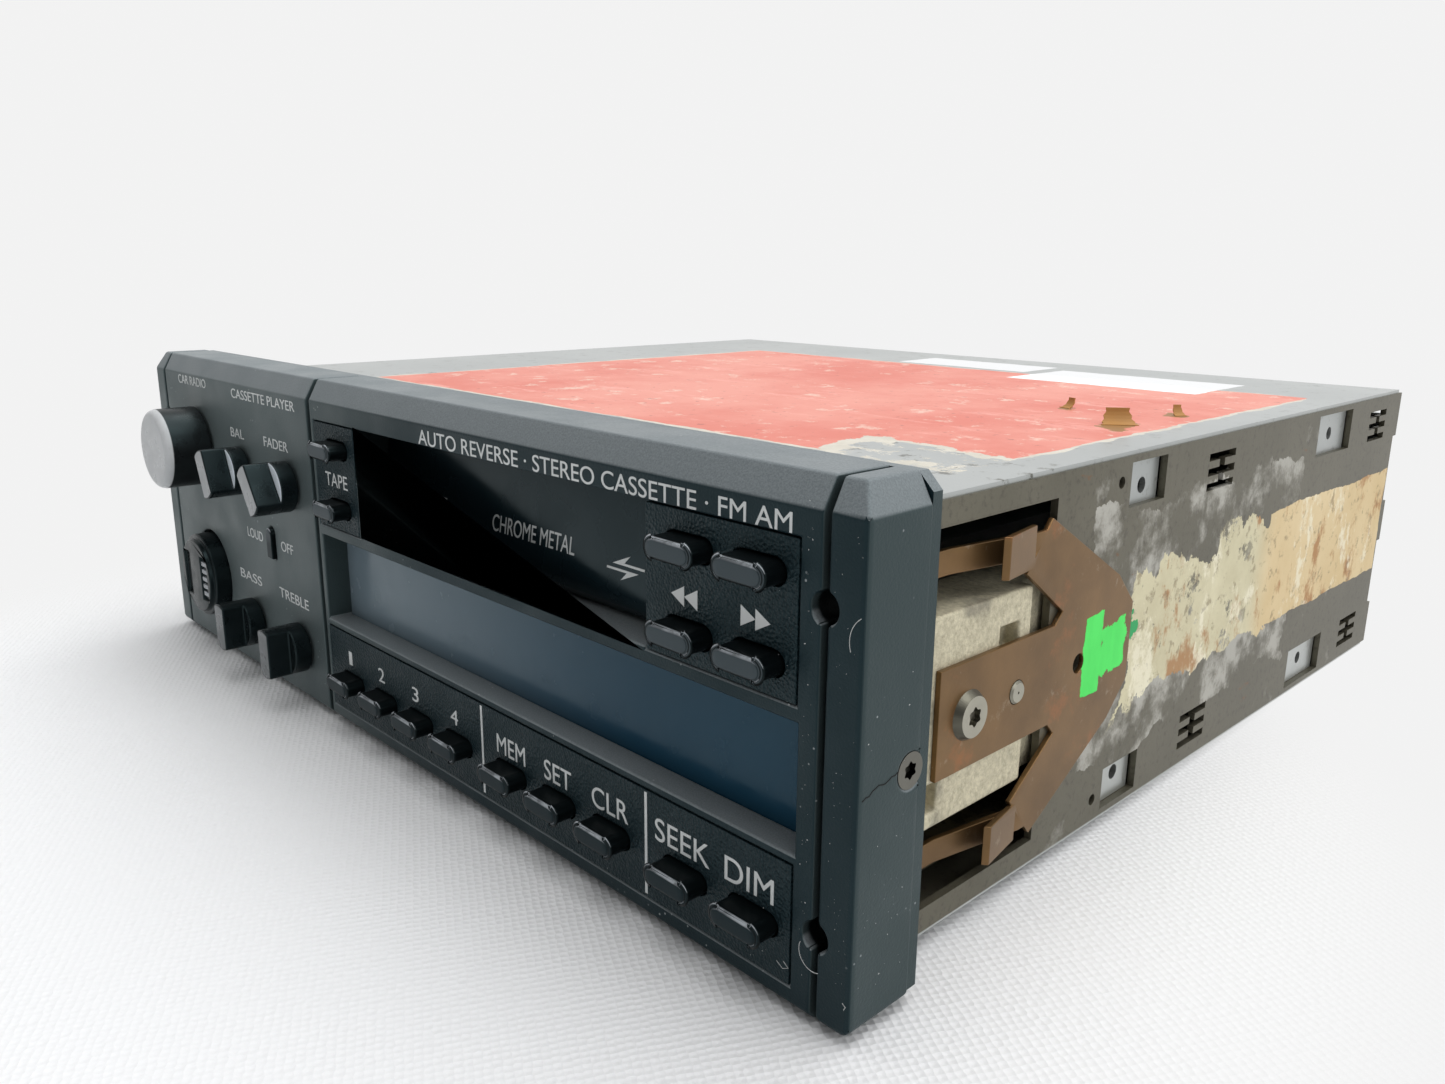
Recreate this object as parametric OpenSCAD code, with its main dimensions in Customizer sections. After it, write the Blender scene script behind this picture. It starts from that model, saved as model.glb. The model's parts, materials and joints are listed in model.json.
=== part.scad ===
// Single-DIN car radio with cassette player.
// Frame: X across the dash (left to right), Y into the dash, Z up.
// Origin: centre of the dash sleeve's opening, in the plane of the fascia's rear face.

/* [Chassis] */
// Width of the chassis outside its side plates
body_w = 178; // [176:1:216]
// Height of the chassis between its two covers
body_h = 50.6; // [48:0.2:62]
// Depth of the side plates behind the fascia
body_d = 158; // [132:1:192]
// Thickness of the side plates
plate_t = 1.0; // [0.8:0.1:1.4]
// Thickness of the top and bottom covers
cover_t = 0.6; // [0.5:0.1:1]
// Width of the side plates' inward flanges
flange_w = 6; // [4:0.5:9]
// Length of the cut-out behind the fascia in each side plate
cutout_l = 30.5; // [27:0.5:34]
// Height of the side plate left above and below that cut-out
cutout_rim = 3.0; // [2:0.5:5]

/* [Fascia] */
// Depth of the fascia in front of its seat
fascia_d = 11.2; // [10.8:0.1:14]
// Overhang of the fascia past the chassis at each side
fascia_side = 5; // [4:0.5:7]
// Overhang of the fascia above the chassis
fascia_over = 4.8; // [4:0.2:7]
// Overhang of the fascia below the chassis
fascia_under = 2.6; // [2.2:0.2:6]
// Wall thickness of the fascia mouldings
wall = 1.4; // [1.2:0.1:1.8]
// Thickness of the back frame behind the mouldings
frame_t = 1.5; // [1.2:0.1:2]
// Width of the slits between the mouldings and the end caps
slit = 0.8; // [0.5:0.1:1.2]
// Height of the chamfer along the top front edge
top_chamfer_h = 3.3; // [2:0.1:4.5]
// Depth of the chamfer along the top front edge
top_chamfer_d = 1.8; // [1:0.1:2.5]
// Chamfer along the bottom front edge
bottom_chamfer = 1.2; // [0.6:0.1:2]
// Width of the right-hand moulding, which carries the tape slot and the keys
main_w = 110; // [108:1:114]
// Radius of the holes for the removal tool
tool_r = 1.7; // [1.5:0.1:1.7]
// Height between the two removal holes at one side
tool_pitch = 35; // [33:0.5:37]

/* [Tape slot and display] */
// Width of the tape slot
slot_w = 68.7; // [66:0.1:70]
// Height of the tape slot
slot_h = 16.8; // [16:0.1:18]
// Distance from the fascia's top edge to the tape slot
slot_drop = 6.3; // [5.5:0.1:8]
// Distance from the right-hand moulding's right edge to the tape slot
slot_inset = 25.9; // [25:0.1:27]
// Thickness of the walls of the tape slot
slot_wall = 1.2; // [1:0.1:1.5]
// Strip between the tape slot and the display opening
band = 2.1; // [1.8:0.1:3]
// Height of the display opening's lower edge above the fascia's bottom edge
display_rise = 18.3; // [18:0.1:20]
// Margin from the moulding's right edge to the display opening
display_inset = 2.6; // [2:0.1:4]
// Depth of the display lens behind the front face
lens_depth = 4; // [3:0.1:4.4]
// Thickness of the display lens
lens_t = 1.2; // [0.8:0.1:1.4]
// Radius of the tape door's hinge pins
door_pin_r = 0.8; // [0.6:0.1:1]

/* [Keys] */
// Length of a key
key_l = 7.3; // [6:0.1:8]
// Height of a key
key_h = 2.6; // [2:0.1:3]
// How far a key stands proud of its panel
key_out = 3.2; // [2:0.1:4]
// Travel of a key
key_travel = 1.0; // [0.5:0.1:1]
// Clearance around a key
key_gap = 0.2; // [0.15:0.05:0.3]
// Distance between the two transport keys of a row
transport_pitch = 10.4; // [10:0.1:11]
// Distance between two preset keys of a group
preset_pitch = 10.95; // [10:0.05:11]
// Extra space between two groups of preset keys
preset_group = 2.6; // [1.5:0.1:3]

/* [Knobs] */
// Diameter of the volume knob
volume_d = 15.2; // [13:0.1:17]
// How far the volume knob stands proud
volume_out = 8.8; // [6:0.1:10]
// Diameter of the four small knobs
small_d = 8.8; // [8:0.1:10]
// How far the two upper small knobs stand proud
upper_out = 7.4; // [5:0.1:8.5]
// How far the two lower small knobs stand proud
lower_out = 7.2; // [5:0.1:8.5]
// Diameter of the tuning rocker
rocker_d = 16.4; // [14:0.1:17]
// How far the tuning rocker stands proud
rocker_out = 3.6; // [2.5:0.1:5]
// Radius of the volume shaft
volume_shaft_r = 3; // [2.5:0.1:3.2]
// Radius of the small knobs' shafts
small_shaft_r = 2; // [1.5:0.1:2.2]
// Running clearance between a shaft and its bush
shaft_gap = 0.05; // [0.02:0.01:0.1]

/* [Side springs] */
// Thickness of the spring steel
spring_t = 0.7; // [0.5:0.1:0.9]
// Radius of the spring screw's head
spring_head_r = 3; // [2.5:0.1:3.5]
// Radius of the spring screw's thread
spring_screw_r = 1.5; // [1.2:0.1:2]
// How far the barbs spring out past the side plate
barb_out = 2; // [1:0.1:2.4]

/* [Tape deck] */
// Distance between the two reel spindles
reel_pitch = 42.5; // [42.5:0.1:42.5]
// Distance between the two capstans
capstan_pitch = 66; // [60:1:70]
// Radius of the flywheels
flywheel_r = 17; // [14:0.5:18]
// Radius of the capstan shafts
capstan_r = 1; // [0.8:0.1:1.25]
// Thickness of the deck plate
deck_t = 1.2; // [1:0.1:1.6]
// Distance from the tape's path down to the deck plate
reel_h = 6; // [5:0.5:7]
// Radius of the deck motor
motor_r = 12; // [10:0.5:13]
// Travel of the head carriage
head_travel = 9.5; // [9:0.5:12]

/* [Rear] */
// Radius of the rear support stud
stud_r = 2.5; // [2:0.1:3]
// Length of the rear support stud behind the rear panel
stud_l = 12; // [8:1:16]
// Radius of the aerial socket's bore
aerial_r = 4.25; // [3.5:0.05:4.5]
// Depth of the heat sink's fins
fin_d = 9; // [6:0.5:12]

/* [Hidden] */
$fn = 48;
eps = 0.01;
hx = body_w / 2;
hz = body_h / 2;
cap_x = hx + fascia_side;
z_bot = -hz - fascia_under;
z_top = hz + fascia_over;
y_front = -fascia_d;
y_skin = y_front + wall;
y_frame = -frame_t;
spigot = 2.1;
board_t = 1.6;
y_board = y_frame - 0.1 - board_t;
main_x1 = hx - slit / 2;
main_x0 = main_x1 - main_w;
knob_x0 = -hx + slit / 2;
divider = 1.2;
knob_x1 = main_x0 - divider;
side_wall_end = y_board - 0.4;

// Tape slot, display opening and the panels around them.
slot_x1 = main_x1 - slot_inset;
slot_x0 = slot_x1 - slot_w;
slot_x = (slot_x0 + slot_x1) / 2;
slot_z1 = z_top - slot_drop;
slot_z0 = slot_z1 - slot_h;
display_x0 = main_x0 + wall;
display_x1 = main_x1 - display_inset;
display_z0 = z_bot + display_rise;
display_z1 = slot_z0 - band;
panel_gap = 0.15;
panel_z0 = slot_z0 - 0.4;
side_panel = [main_x0 + 1, panel_z0, slot_x0 - 0.4, slot_z1];
transport_panel_box = [slot_x1, panel_z0, main_x1 - 2.8, slot_z1];
preset_panel_box = [main_x0 + 1, z_bot + 3, main_x1 - 2.8, z_bot + 17.2];

// Keys.
key_flange = 0.5;
key_flange_t = 0.8;
key_back = y_skin + 0.3;
key_end = key_back + key_flange_t;
switch_top = key_end + key_travel + 0.25;
row_upper = z_top - 10.3;
row_lower = z_top - 19.8;
row_preset = z_bot + 8.9;
side_key_x = main_x0 + 8.7;
transport_x1 = main_x1 - 8.35;
preset_x1 = main_x1 - 8.4;
preset_count = 9;
loud_size = [2.2, 5.6];

function preset_group_of(i) = i < 4 ? 0 : (i < 7 ? 1 : 2);
function preset_x(i) =
    preset_x1 - preset_pitch * (preset_count - 1 - i) - preset_group * (2 - preset_group_of(i));
function transport_x(i) = transport_x1 - transport_pitch * (1 - i);
function transport_z(i) = i < 2 ? row_upper : row_lower;

// Knobs: measured from the left-hand moulding's left edge and the fascia's top and bottom.
volume_pos = [knob_x0 + 16, z_top - 16.8];
rocker_pos = [knob_x0 + 16.4, z_bot + 15.4];
knob_pitch = 20;
small_x0 = knob_x0 + 37.2;
upper_z = z_top - 18.8;
lower_z = z_bot + 10.4;
loud_pos = [knob_x0 + 47.3, z_bot + 27.3];
knob_lift = 0.4;
pot_front = y_skin + 0.4;
volume_pot = [14, 13];
small_pot = [9.6, 10];
rocker_y = y_skin + 1.6;
rocker_gap = 0.5;
rocker_rim = 0.9;
rocker_pin_r = 1;
rocker_lug_x = rocker_d / 2 + rocker_rim + 0.4;

// Side springs and the castings that carry them.
cast_w = 9;
cast_d = 32;
cast_h = 25;
spring_screw_y = 13.2;
rivet_y = 23.2;
rivet_r = 1.45;
apex_y = 51;
strip_w = 3;

// Tape path and deck.
bay_w = 65.2;
bay_z0 = slot_z0 + 0.3;
bay_h = 12;
bay_y0 = 1;
bay_l = 101;
deck_z = bay_z0 - reel_h;
deck_x0 = slot_x - 50;
deck_x1 = slot_x + 44;
deck_y0 = 6;
deck_y1 = bay_y0 + 121;
reel_x = slot_x + 2;
reel_y = bay_y0 + 51;
reel_r = 4.6;
capstan_x = slot_x - 22;
motor_x = slot_x + 22;
motor_y = bay_y0 + 92;
pulley_r = 4;
belt_z = deck_z - deck_t - 5.6;
belt_w = 3;
belt_t = 0.8;
flywheel_t = 5;
wheel_z0 = deck_z - deck_t - 0.6 - flywheel_t;
running = 0.05;
head_plate_t = 1;
roller_r = 4;
roller_x = capstan_x - capstan_r - 0.3 - roller_r - head_travel;

// Boards, rear panel and what is on it.
pcb_z = -hz + 4.6;
rear_y = body_d - 2;
rear_t = 1;
conn_w = 50;
conn_h = 22;
conn_d = 14;
conn_x = 22;
aerial_pos = [hx - 14, -6];
sink_x0 = -hx + 4;
sink_w = 54;

// ---- helpers ----

// A box between two corners.
module block(a, b) {
    translate(a)
        cube(b - a);
}

// A box from an [x0, z0, x1, z1] outline and two depths.
module slab(o, y0, y1) {
    block([o[0], y0, o[1]], [o[2], y1, o[3]]);
}

// A round bar along Y.
module bar_y(x, z, r, y0, y1) {
    translate([x, y0, z])
        rotate([-90, 0, 0])
            cylinder(r = r, h = y1 - y0);
}

// A round bar along X.
module bar_x(y, z, r, x0, x1) {
    translate([x0, y, z])
        rotate([0, 90, 0])
            cylinder(r = r, h = x1 - x0);
}

// A round bar along Z.
module bar_z(x, y, r, z0, z1) {
    translate([x, y, z0])
        cylinder(r = r, h = z1 - z0);
}

// An outline drawn in Y and Z, made h thick from x0 towards +X.
module side_sheet(x0, h) {
    translate([x0, 0, 0])
        rotate([90, 0, 90])
            linear_extrude(h)
                children();
}

// A profile drawn in Y and Z, drawn out along X.
module profile_x(points, x0, x1) {
    side_sheet(x0, x1 - x0)
        polygon(points);
}

// A bar with round ends, l long and h high, along Y.
module stadium(x, z, l, h, y0, y1) {
    r = h / 2;
    block([x - l / 2 + r, y0, z - r], [x + l / 2 - r, y1, z + r]);
    for (s = [-1, 1])
        bar_y(x + s * (l / 2 - r), z, r, y0, y1);
}

// ---- chassis ----

window_front = [48.5, 10, 6];
window_rear = [body_d - 43, 16, 7];

// Windows for the covers' clips, slots and small holes of a side plate, in Y and Z.
module plate_holes() {
    for (s = [-1, 1]) {
        for (w = [window_front, window_rear])
            translate([w[0], s > 0 ? hz - 0.9 - w[2] : -hz + 0.9])
                square([w[1], w[2]]);
        for (y = [72, body_d - 17]) {
            for (k = [0, 1, 2])
                translate([y, s * (hz - 5.2) + (k - 1) * 2.2 - 0.55])
                    square([9, 1.1]);
            translate([y + 3.6, s * (hz - 5.2) - 2.2])
                square([1.8, 4.4]);
        }
        translate([46, s * (hz - 3.2)])
            circle(r = 0.8);
        translate([rear_y + 0.4, s > 0 ? 4 : -17])
            square([body_d - rear_y, 13]);
    }
    translate([37.5, 0])
        circle(r = 1.3);
}

// The right-hand side plate, with flanges that the covers rest on.
module side_frame() {
    difference() {
        union() {
            side_sheet(hx - plate_t, plate_t)
                difference() {
                    translate([spigot, -hz])
                        square([body_d - spigot, body_h]);
                    translate([spigot - 1, -hz + cutout_rim])
                        square([cutout_l + 1 - spigot, body_h - 2 * cutout_rim]);
                    plate_holes();
                }
            for (s = [-1, 1])
                block([hx - plate_t - flange_w, spigot, s > 0 ? hz - plate_t : -hz],
                      [hx - plate_t + eps, rear_y - rear_t - 0.2, s > 0 ? hz : -hz + plate_t]);
        }
        for (w = [window_front, window_rear])
            block([hx - plate_t - flange_w - 1, w[0] - 0.5, -hz - 1],
                  [hx - plate_t, w[0] + w[1] + 0.5, hz + 1]);
    }
}

module side_frame_r() {
    color("gray")
        side_frame();
}

module side_frame_l() {
    color("gray")
        mirror([1, 0, 0])
            side_frame();
}

// A cover sheet with four clips that reach down inside the side plates.
module cover() {
    clip_t = 0.8;
    clip_l = 8;
    block([-hx + 0.3, spigot, hz], [hx - 0.3, rear_y + 1, hz + cover_t]);
    for (s = [-1, 1])
        for (w = [window_front, window_rear])
            difference() {
                translate([s * (hx - plate_t - clip_t / 2), w[0] + w[1] / 2, hz + eps - clip_l / 2])
                    cube([clip_t, w[1] - 1, clip_l], center = true);
                bar_x(w[0] + w[1] / 2, hz - 4.6, 1.1, s * (hx - plate_t) - 2, s * (hx - plate_t) + 2);
            }
}

module top_cover() {
    color("lightgray")
        cover();
}

module bottom_cover() {
    color("lightgray")
        mirror([0, 0, 1])
            cover();
}

// Rear wall with windows for the connector, the aerial socket and the stud.
module rear_panel() {
    color("silver")
        difference() {
            block([-hx + plate_t, rear_y - rear_t, -hz], [hx - plate_t, rear_y, hz]);
            block([conn_x - conn_w / 2 - 0.3, rear_y - rear_t - 1, -conn_h / 2 - 0.3],
                  [conn_x + conn_w / 2 + 0.3, rear_y + 1, conn_h / 2 + 0.3]);
            bar_y(aerial_pos[0], aerial_pos[1], aerial_r + 1.4, rear_y - rear_t - 1, rear_y + 1);
            bar_y(0, hz - 8, stud_r + 0.1, rear_y - rear_t - 1, rear_y + 1);
            for (s = [-1, 1])
                block([s * hx - s * plate_t - 3.4, rear_y - rear_t - 1, hz - 4],
                      [s * hx - s * plate_t + 3.4, rear_y + 1, hz + 1]);
        }
}

// Die-cast corner blocks between the fascia's back frame and the side springs.
module side_castings() {
    color("darkgray")
        for (s = [0, 1])
            mirror([s, 0, 0])
                difference() {
                    union() {
                        block([hx - cast_w, spigot, -cast_h / 2], [hx, cast_d, cast_h / 2]);
                        block([hx - cast_w, spigot, -cast_h / 2 - 5], [hx - 4, 9, cast_h / 2 + 5]);
                    }
                    block([hx - 1.6, 26.5, -cast_h], [hx + 1, cast_d + 1, cast_h]);
                    block([hx - 2.2, 20, 5], [hx + 1, 24, 8.5]);
                    block([hx - 2.2, 4, -10.5], [hx + 1, 9, -7]);
                    bar_x(spring_screw_y, 0, spring_screw_r + running, hx - cast_w + 1, hx + 1);
                    bar_x(rivet_y, 0, rivet_r + running, hx - 4, hx + 1);
                }
}

// Outline of the spring's tongue and its two arms, in Y and Z.
module spring_outline() {
    polygon([[7.5, -6.5], [31, -6.5], [32.5, -8], [23.5, -14.4], [28.5, -20.3], [46.5, -10],
             [apex_y, -5.5], [apex_y, 5.5], [46.5, 10], [28.5, 20.3], [23.5, 14.4], [32.5, 8],
             [31, 6.5], [7.5, 6.5]]);
}

// One flat spring with its arms, guide strips and barbs.
module retaining_spring() {
    y_bend = 17;
    y_strip = spigot + 0.8;
    x_in = hx - 2.6;
    tool_z = tool_pitch / 2;
    difference() {
        union() {
            side_sheet(hx, spring_t)
                spring_outline();
            for (s = [-1, 1]) {
                translate([0, 0, s * tool_z - strip_w / 2])
                    linear_extrude(strip_w)
                        polygon([[x_in, y_strip], [x_in, y_bend - 5], [hx, 26], [hx, 30],
                                 [hx + spring_t, 30], [hx + spring_t, 26],
                                 [x_in + spring_t, y_bend - 5.2], [x_in + spring_t, y_strip]]);
                translate([0, 0, s * tool_z - strip_w / 2 - 1])
                    linear_extrude(strip_w + 2)
                        polygon([[hx, 25], [hx + spring_t, 25], [hx + barb_out, 17.6],
                                 [hx + barb_out - spring_t, 17]]);
            }
        }
        bar_x(spring_screw_y, 0, spring_screw_r + 0.1, hx - 1, hx + 3);
        bar_x(rivet_y, 0, rivet_r + running, hx - 1, hx + 3);
        bar_x(37.5, 0, 1.3, hx - 1, hx + 3);
    }
}

module retaining_springs() {
    color("dimgray")
        for (s = [0, 1])
            mirror([s, 0, 0])
                retaining_spring();
}

// Screws and rivets that hold the side springs to the castings.
module spring_fasteners() {
    head_t = 0.9;
    recess_r = 1.5;
    color("silver")
        for (s = [0, 1])
            mirror([s, 0, 0]) {
                difference() {
                    union() {
                        bar_x(spring_screw_y, 0, spring_screw_r, hx - cast_w + 1.5, hx + spring_t);
                        bar_x(spring_screw_y, 0, spring_head_r, hx + spring_t, hx + spring_t + head_t);
                    }
                    bar_x(spring_screw_y, 0, recess_r, hx + spring_t + 0.2, hx + 3);
                }
                bar_x(rivet_y, 0, rivet_r, hx - 3.5, hx + spring_t + 0.25);
            }
}

// ---- fascia ----

// Side profile of the mouldings, from the back frame to the front face.
module fascia_profile() {
    polygon([[y_frame, z_bot], [y_front + bottom_chamfer, z_bot],
             [y_front, z_bot + bottom_chamfer], [y_front, z_top - top_chamfer_h],
             [y_front + top_chamfer_d, z_top], [y_frame, z_top]]);
}

// The holes for the removal tool, in the frame, the mouldings and the end caps.
module tool_holes() {
    for (sx = [-1, 1])
        for (sz = [-1, 1])
            bar_y(sx * hx, sz * tool_pitch / 2, tool_r, y_front - 1, spigot + 1);
}

cap_screw_y = y_frame - 1.5;
boss_x1 = main_x1 - wall - 0.3;
boss_x0 = boss_x1 - 6.5;
boss_z = 2.6;
cap_foot = 1.8;
cap_screw_r = 1;
cap_head_r = 2.1;
cap_head_t = 1.3;

// The countersink of an end cap's screw.
module cap_screw_sink() {
    translate([cap_x - cap_head_t, cap_screw_y, 0])
        rotate([0, 90, 0])
            cylinder(r1 = cap_screw_r + running, r2 = cap_head_r + running, h = cap_head_t + eps);
}

// Back frame: the seat against the dash, with a spigot that fills the sleeve's mouth and is
// notched for the removal tool.
module front_frame() {
    edge = 0.2;
    notch = tool_r + 1.3;
    color("dimgray")
        difference() {
            union() {
                rotate([90, 0, 0])
                    linear_extrude(frame_t)
                        for (s = [0, 1])
                            mirror([s, 0])
                                polygon([[-eps, z_bot + edge], [cap_x - edge - cap_foot, z_bot + edge],
                                         [cap_x - edge, z_bot + edge + cap_foot],
                                         [cap_x - edge, z_top - edge - cap_foot],
                                         [cap_x - edge - cap_foot, z_top - edge], [-eps, z_top - edge]]);
                block([-hx + 0.2, -eps, -hz + 0.2], [hx - 0.2, spigot, hz - 0.2]);
                for (s = [0, 1])
                    mirror([s, 0, 0])
                        block([boss_x0, y_frame - 4.4, -boss_z], [boss_x1, y_frame + eps, boss_z]);
            }
            block([slot_x0, y_frame - 1, slot_z0], [slot_x1, spigot + 1, slot_z1]);
            block([-hx + 14, y_frame - 1, -hz + 6], [main_x1 - 14, spigot + 1, slot_z0 - 5]);
            tool_holes();
            for (sx = [-1, 1])
                for (sz = [-1, 1])
                    block([sx * hx - notch, 0, sz * tool_pitch / 2 - notch],
                          [sx * hx + notch, spigot + 1, sz * tool_pitch / 2 + notch]);
            for (s = [-1, 1])
                bar_x(cap_screw_y, 0, cap_screw_r + running, s * (main_x1 - 5) - 5, s * (main_x1 - 5) + 5);
            for (s = [0, 1])
                mirror([s, 0, 0])
                    cap_screw_sink();
        }
}

// Right-hand end cap: its outer corners are bevelled.
module end_cap() {
    x0 = hx + slit / 2;
    bevel = 0.4;
    difference() {
        intersection() {
            side_sheet(x0, cap_x - x0)
                fascia_profile();
            translate([0, y_frame, 0])
                rotate([90, 0, 0])
                    linear_extrude(fascia_d - frame_t)
                        polygon([[x0, z_bot], [cap_x - cap_foot, z_bot], [cap_x, z_bot + cap_foot],
                                 [cap_x, z_top - top_chamfer_h], [cap_x - top_chamfer_d, z_top],
                                 [x0, z_top]]);
            translate([0, 0, z_bot])
                linear_extrude(z_top - z_bot)
                    polygon([[x0, y_frame], [x0, y_front], [cap_x - bevel, y_front],
                             [cap_x, y_front + bevel], [cap_x, y_frame]]);
        }
        tool_holes();
        bar_x(cap_screw_y, 0, cap_screw_r + running, x0 - 1, cap_x + 1);
        cap_screw_sink();
    }
}

module end_cap_r() {
    color("darkslategray")
        end_cap();
}

module end_cap_l() {
    color("darkslategray")
        mirror([1, 0, 0])
            end_cap();
}

// Countersunk screws that hold the end caps.
module cap_screws() {
    color("black")
        for (s = [0, 1])
            mirror([s, 0, 0])
                difference() {
                    union() {
                        bar_x(cap_screw_y, 0, cap_screw_r, main_x1 - 6, cap_x - cap_head_t);
                        translate([cap_x - cap_head_t, cap_screw_y, 0])
                            rotate([0, 90, 0])
                                cylinder(r1 = cap_screw_r, r2 = cap_head_r - 0.1, h = cap_head_t - 0.1);
                    }
                    bar_x(cap_screw_y, 0, 1.1, cap_x - 0.8, cap_x + 1);
                }
}

// A moulding: a shell that is open at the back, with its inner side wall cut short.
module shell(x0, x1, outer_left) {
    inner = outer_left ? x1 : x0;
    difference() {
        side_sheet(x0, x1 - x0)
            fascia_profile();
        block([x0 + wall, y_skin, z_bot + wall], [x1 - wall, y_frame + 1, z_top - wall]);
        block([inner - wall - 1, side_wall_end, z_bot + wall],
              [inner + wall + 1, y_frame + 1, z_top - wall]);
        tool_holes();
        for (s = [-1, 1])
            bar_x(cap_screw_y, 0, cap_screw_r + 0.2, s * main_x1 - 2, s * main_x1 + 2);
    }
}

// Left-hand moulding with the knobs' holes and the rocker's bearings.
module knob_moulding() {
    color("darkslategray")
        difference() {
            union() {
                shell(knob_x0, knob_x1, true);
                for (s = [-1, 1])
                    block([rocker_pos[0] + s * (rocker_lug_x + 0.9) - 0.9, y_skin,
                           rocker_pos[1] - 2.2],
                          [rocker_pos[0] + s * (rocker_lug_x + 0.9) + 0.9, rocker_y + 2.2,
                           rocker_pos[1] + 2.2]);
            }
            bar_y(volume_pos[0], volume_pos[1], volume_shaft_r + 0.5, y_front - 1, y_skin + 1);
            for (k = [0, 1])
                for (z = [upper_z, lower_z])
                    bar_y(small_x0 + k * knob_pitch, z, small_shaft_r + 0.5, y_front - 1, y_skin + 1);
            bar_y(rocker_pos[0], rocker_pos[1], rocker_d / 2 + rocker_gap, y_front - 1, y_skin + 1);
            bar_x(rocker_y, rocker_pos[1], rocker_pin_r + running,
                  rocker_pos[0] - rocker_lug_x - 3, rocker_pos[0] + rocker_lug_x + 3);
            stadium_upright(loud_pos, loud_size + [2 * key_gap, 2 * key_gap], y_front - 1, y_skin + 1);
        }
}

// An upright bar with a round top and a square foot.
module stadium_upright(pos, size, y0, y1) {
    r = size[0] / 2;
    block([pos[0] - r, y0, pos[1] - size[1] / 2], [pos[0] + r, y1, pos[1] + size[1] / 2 - r]);
    bar_y(pos[0], pos[1] + size[1] / 2 - r, r, y0, y1);
}

// Right-hand moulding with the tape slot, the display opening and the panels' openings.
module main_moulding() {
    lens_y = y_front + lens_depth;
    color("darkslategray")
        difference() {
            union() {
                shell(main_x0, main_x1, false);
                block([slot_x0 - slot_wall, y_skin, slot_z0 - slot_wall],
                      [slot_x1 + slot_wall, y_frame, slot_z1 + slot_wall]);
                block([display_x0 - eps, y_skin, display_z0 - slot_wall],
                      [display_x1 + slot_wall, lens_y, slot_z0 - eps]);
            }
            block([slot_x0, y_front - 1, slot_z0], [slot_x1, y_frame + 1, slot_z1]);
            block([display_x0, y_front - 1, display_z0], [display_x1, lens_y + 1, display_z1]);
            for (o = [side_panel, transport_panel_box, preset_panel_box])
                slab(o, y_front - 1, y_skin);
            bar_x(door_y, door_z, door_pin_r + running, slot_x0 - slot_wall - 1, slot_x1 + slot_wall + 1);
            slab([side_panel[0] + 0.4, side_panel[1] - 0.8, slot_x0 - slot_wall, side_panel[3] + 0.8],
                 y_skin, y_skin + panel_flange_t);
            slab([slot_x1 + slot_wall, side_panel[1] - 0.8, main_x1 - wall, side_panel[3] + 0.8],
                 y_skin, y_skin + panel_flange_t);
        }
}

panel_flange_t = 0.3;

// A key panel: a plate that fills its opening, with a thin rim behind the moulding.
module key_panel(o, flange) {
    g = panel_gap;
    slab([o[0] + g, o[1] + g, o[2] - g, o[3] - g], y_front, y_skin);
    slab(flange, y_skin, y_skin + panel_flange_t - 0.05);
}

// The hole that a key moves in.
module key_hole(x, z) {
    stadium(x, z, key_l + 2 * key_gap, key_h + 2 * key_gap, y_front - 1, y_skin + 1);
}

module side_key_panel() {
    o = side_panel;
    color("dimgray")
        difference() {
            key_panel(o, [o[0] + 0.5, o[1] - 0.6, slot_x0 - slot_wall - 0.1, o[3] + 0.6]);
            key_hole(side_key_x, row_upper);
            key_hole(side_key_x, row_lower);
        }
}

module transport_panel() {
    o = transport_panel_box;
    color("dimgray")
        difference() {
            key_panel(o, [slot_x1 + slot_wall + 0.1, o[1] - 0.6, o[2] + 0.8, o[3] + 0.6]);
            for (i = [0 : 3])
                key_hole(transport_x(i % 2), transport_z(i));
        }
}

module preset_panel() {
    o = preset_panel_box;
    color("dimgray")
        difference() {
            key_panel(o, [o[0] + 0.5, o[1] - 0.6, o[2] + 0.8, display_z0 - slot_wall - 0.1]);
            for (i = [0 : preset_count - 1])
                key_hole(preset_x(i), row_preset);
        }
}

module display_lens() {
    y = y_front + lens_depth;
    color("midnightblue")
        block([display_x0 + 0.1, y, display_z0 - 0.9], [display_x1 + 0.9, y + lens_t, display_z1 + 0.9]);
}

// The display's glass cell in its frame.
module display_module() {
    y = y_front + lens_depth + lens_t + 0.2;
    color("darkgreen")
        block([display_x0 + 3, y, display_z0 - 0.6], [boss_x0 - 0.4, y_board, display_z1 + 0.6]);
}

// Circuit board behind the keys, cut out for the tape slot and the end caps' screws.
module front_board() {
    g = 0.4;
    color("green")
        difference() {
            block([-main_x1 + wall + g, y_board, z_bot + wall + g],
                  [main_x1 - wall - g, y_board + board_t, z_top - wall - g]);
            block([slot_x0 - slot_wall - g, y_board - 1, slot_z0 - slot_wall - g],
                  [slot_x1 + slot_wall + g, 1, z_top]);
            for (s = [-1, 1])
                translate([s * (boss_x0 + boss_x1) / 2, y_board, 0])
                    cube([boss_x1 - boss_x0 + 1.2, 5, 2 * boss_z + 1.2], center = true);
        }
}

// A potentiometer: a box with a bush that its shaft turns in.
module pot(pos, size, r) {
    difference() {
        union() {
            block([pos[0] - size[0] / 2, pot_front + 1.6, pos[1] - size[1] / 2],
                  [pos[0] + size[0] / 2, y_board, pos[1] + size[1] / 2]);
            bar_y(pos[0], pos[1], r + 1.2, pot_front, pot_front + 1.7);
        }
        bar_y(pos[0], pos[1], r + shaft_gap, pot_front - 1, y_board - 0.8);
    }
}

module rotary_controls() {
    color("silver") {
        pot(volume_pos, volume_pot, volume_shaft_r);
        for (k = [0, 1])
            for (z = [upper_z, lower_z])
                pot([small_x0 + k * knob_pitch, z], small_pot, small_shaft_r);
    }
}

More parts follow.
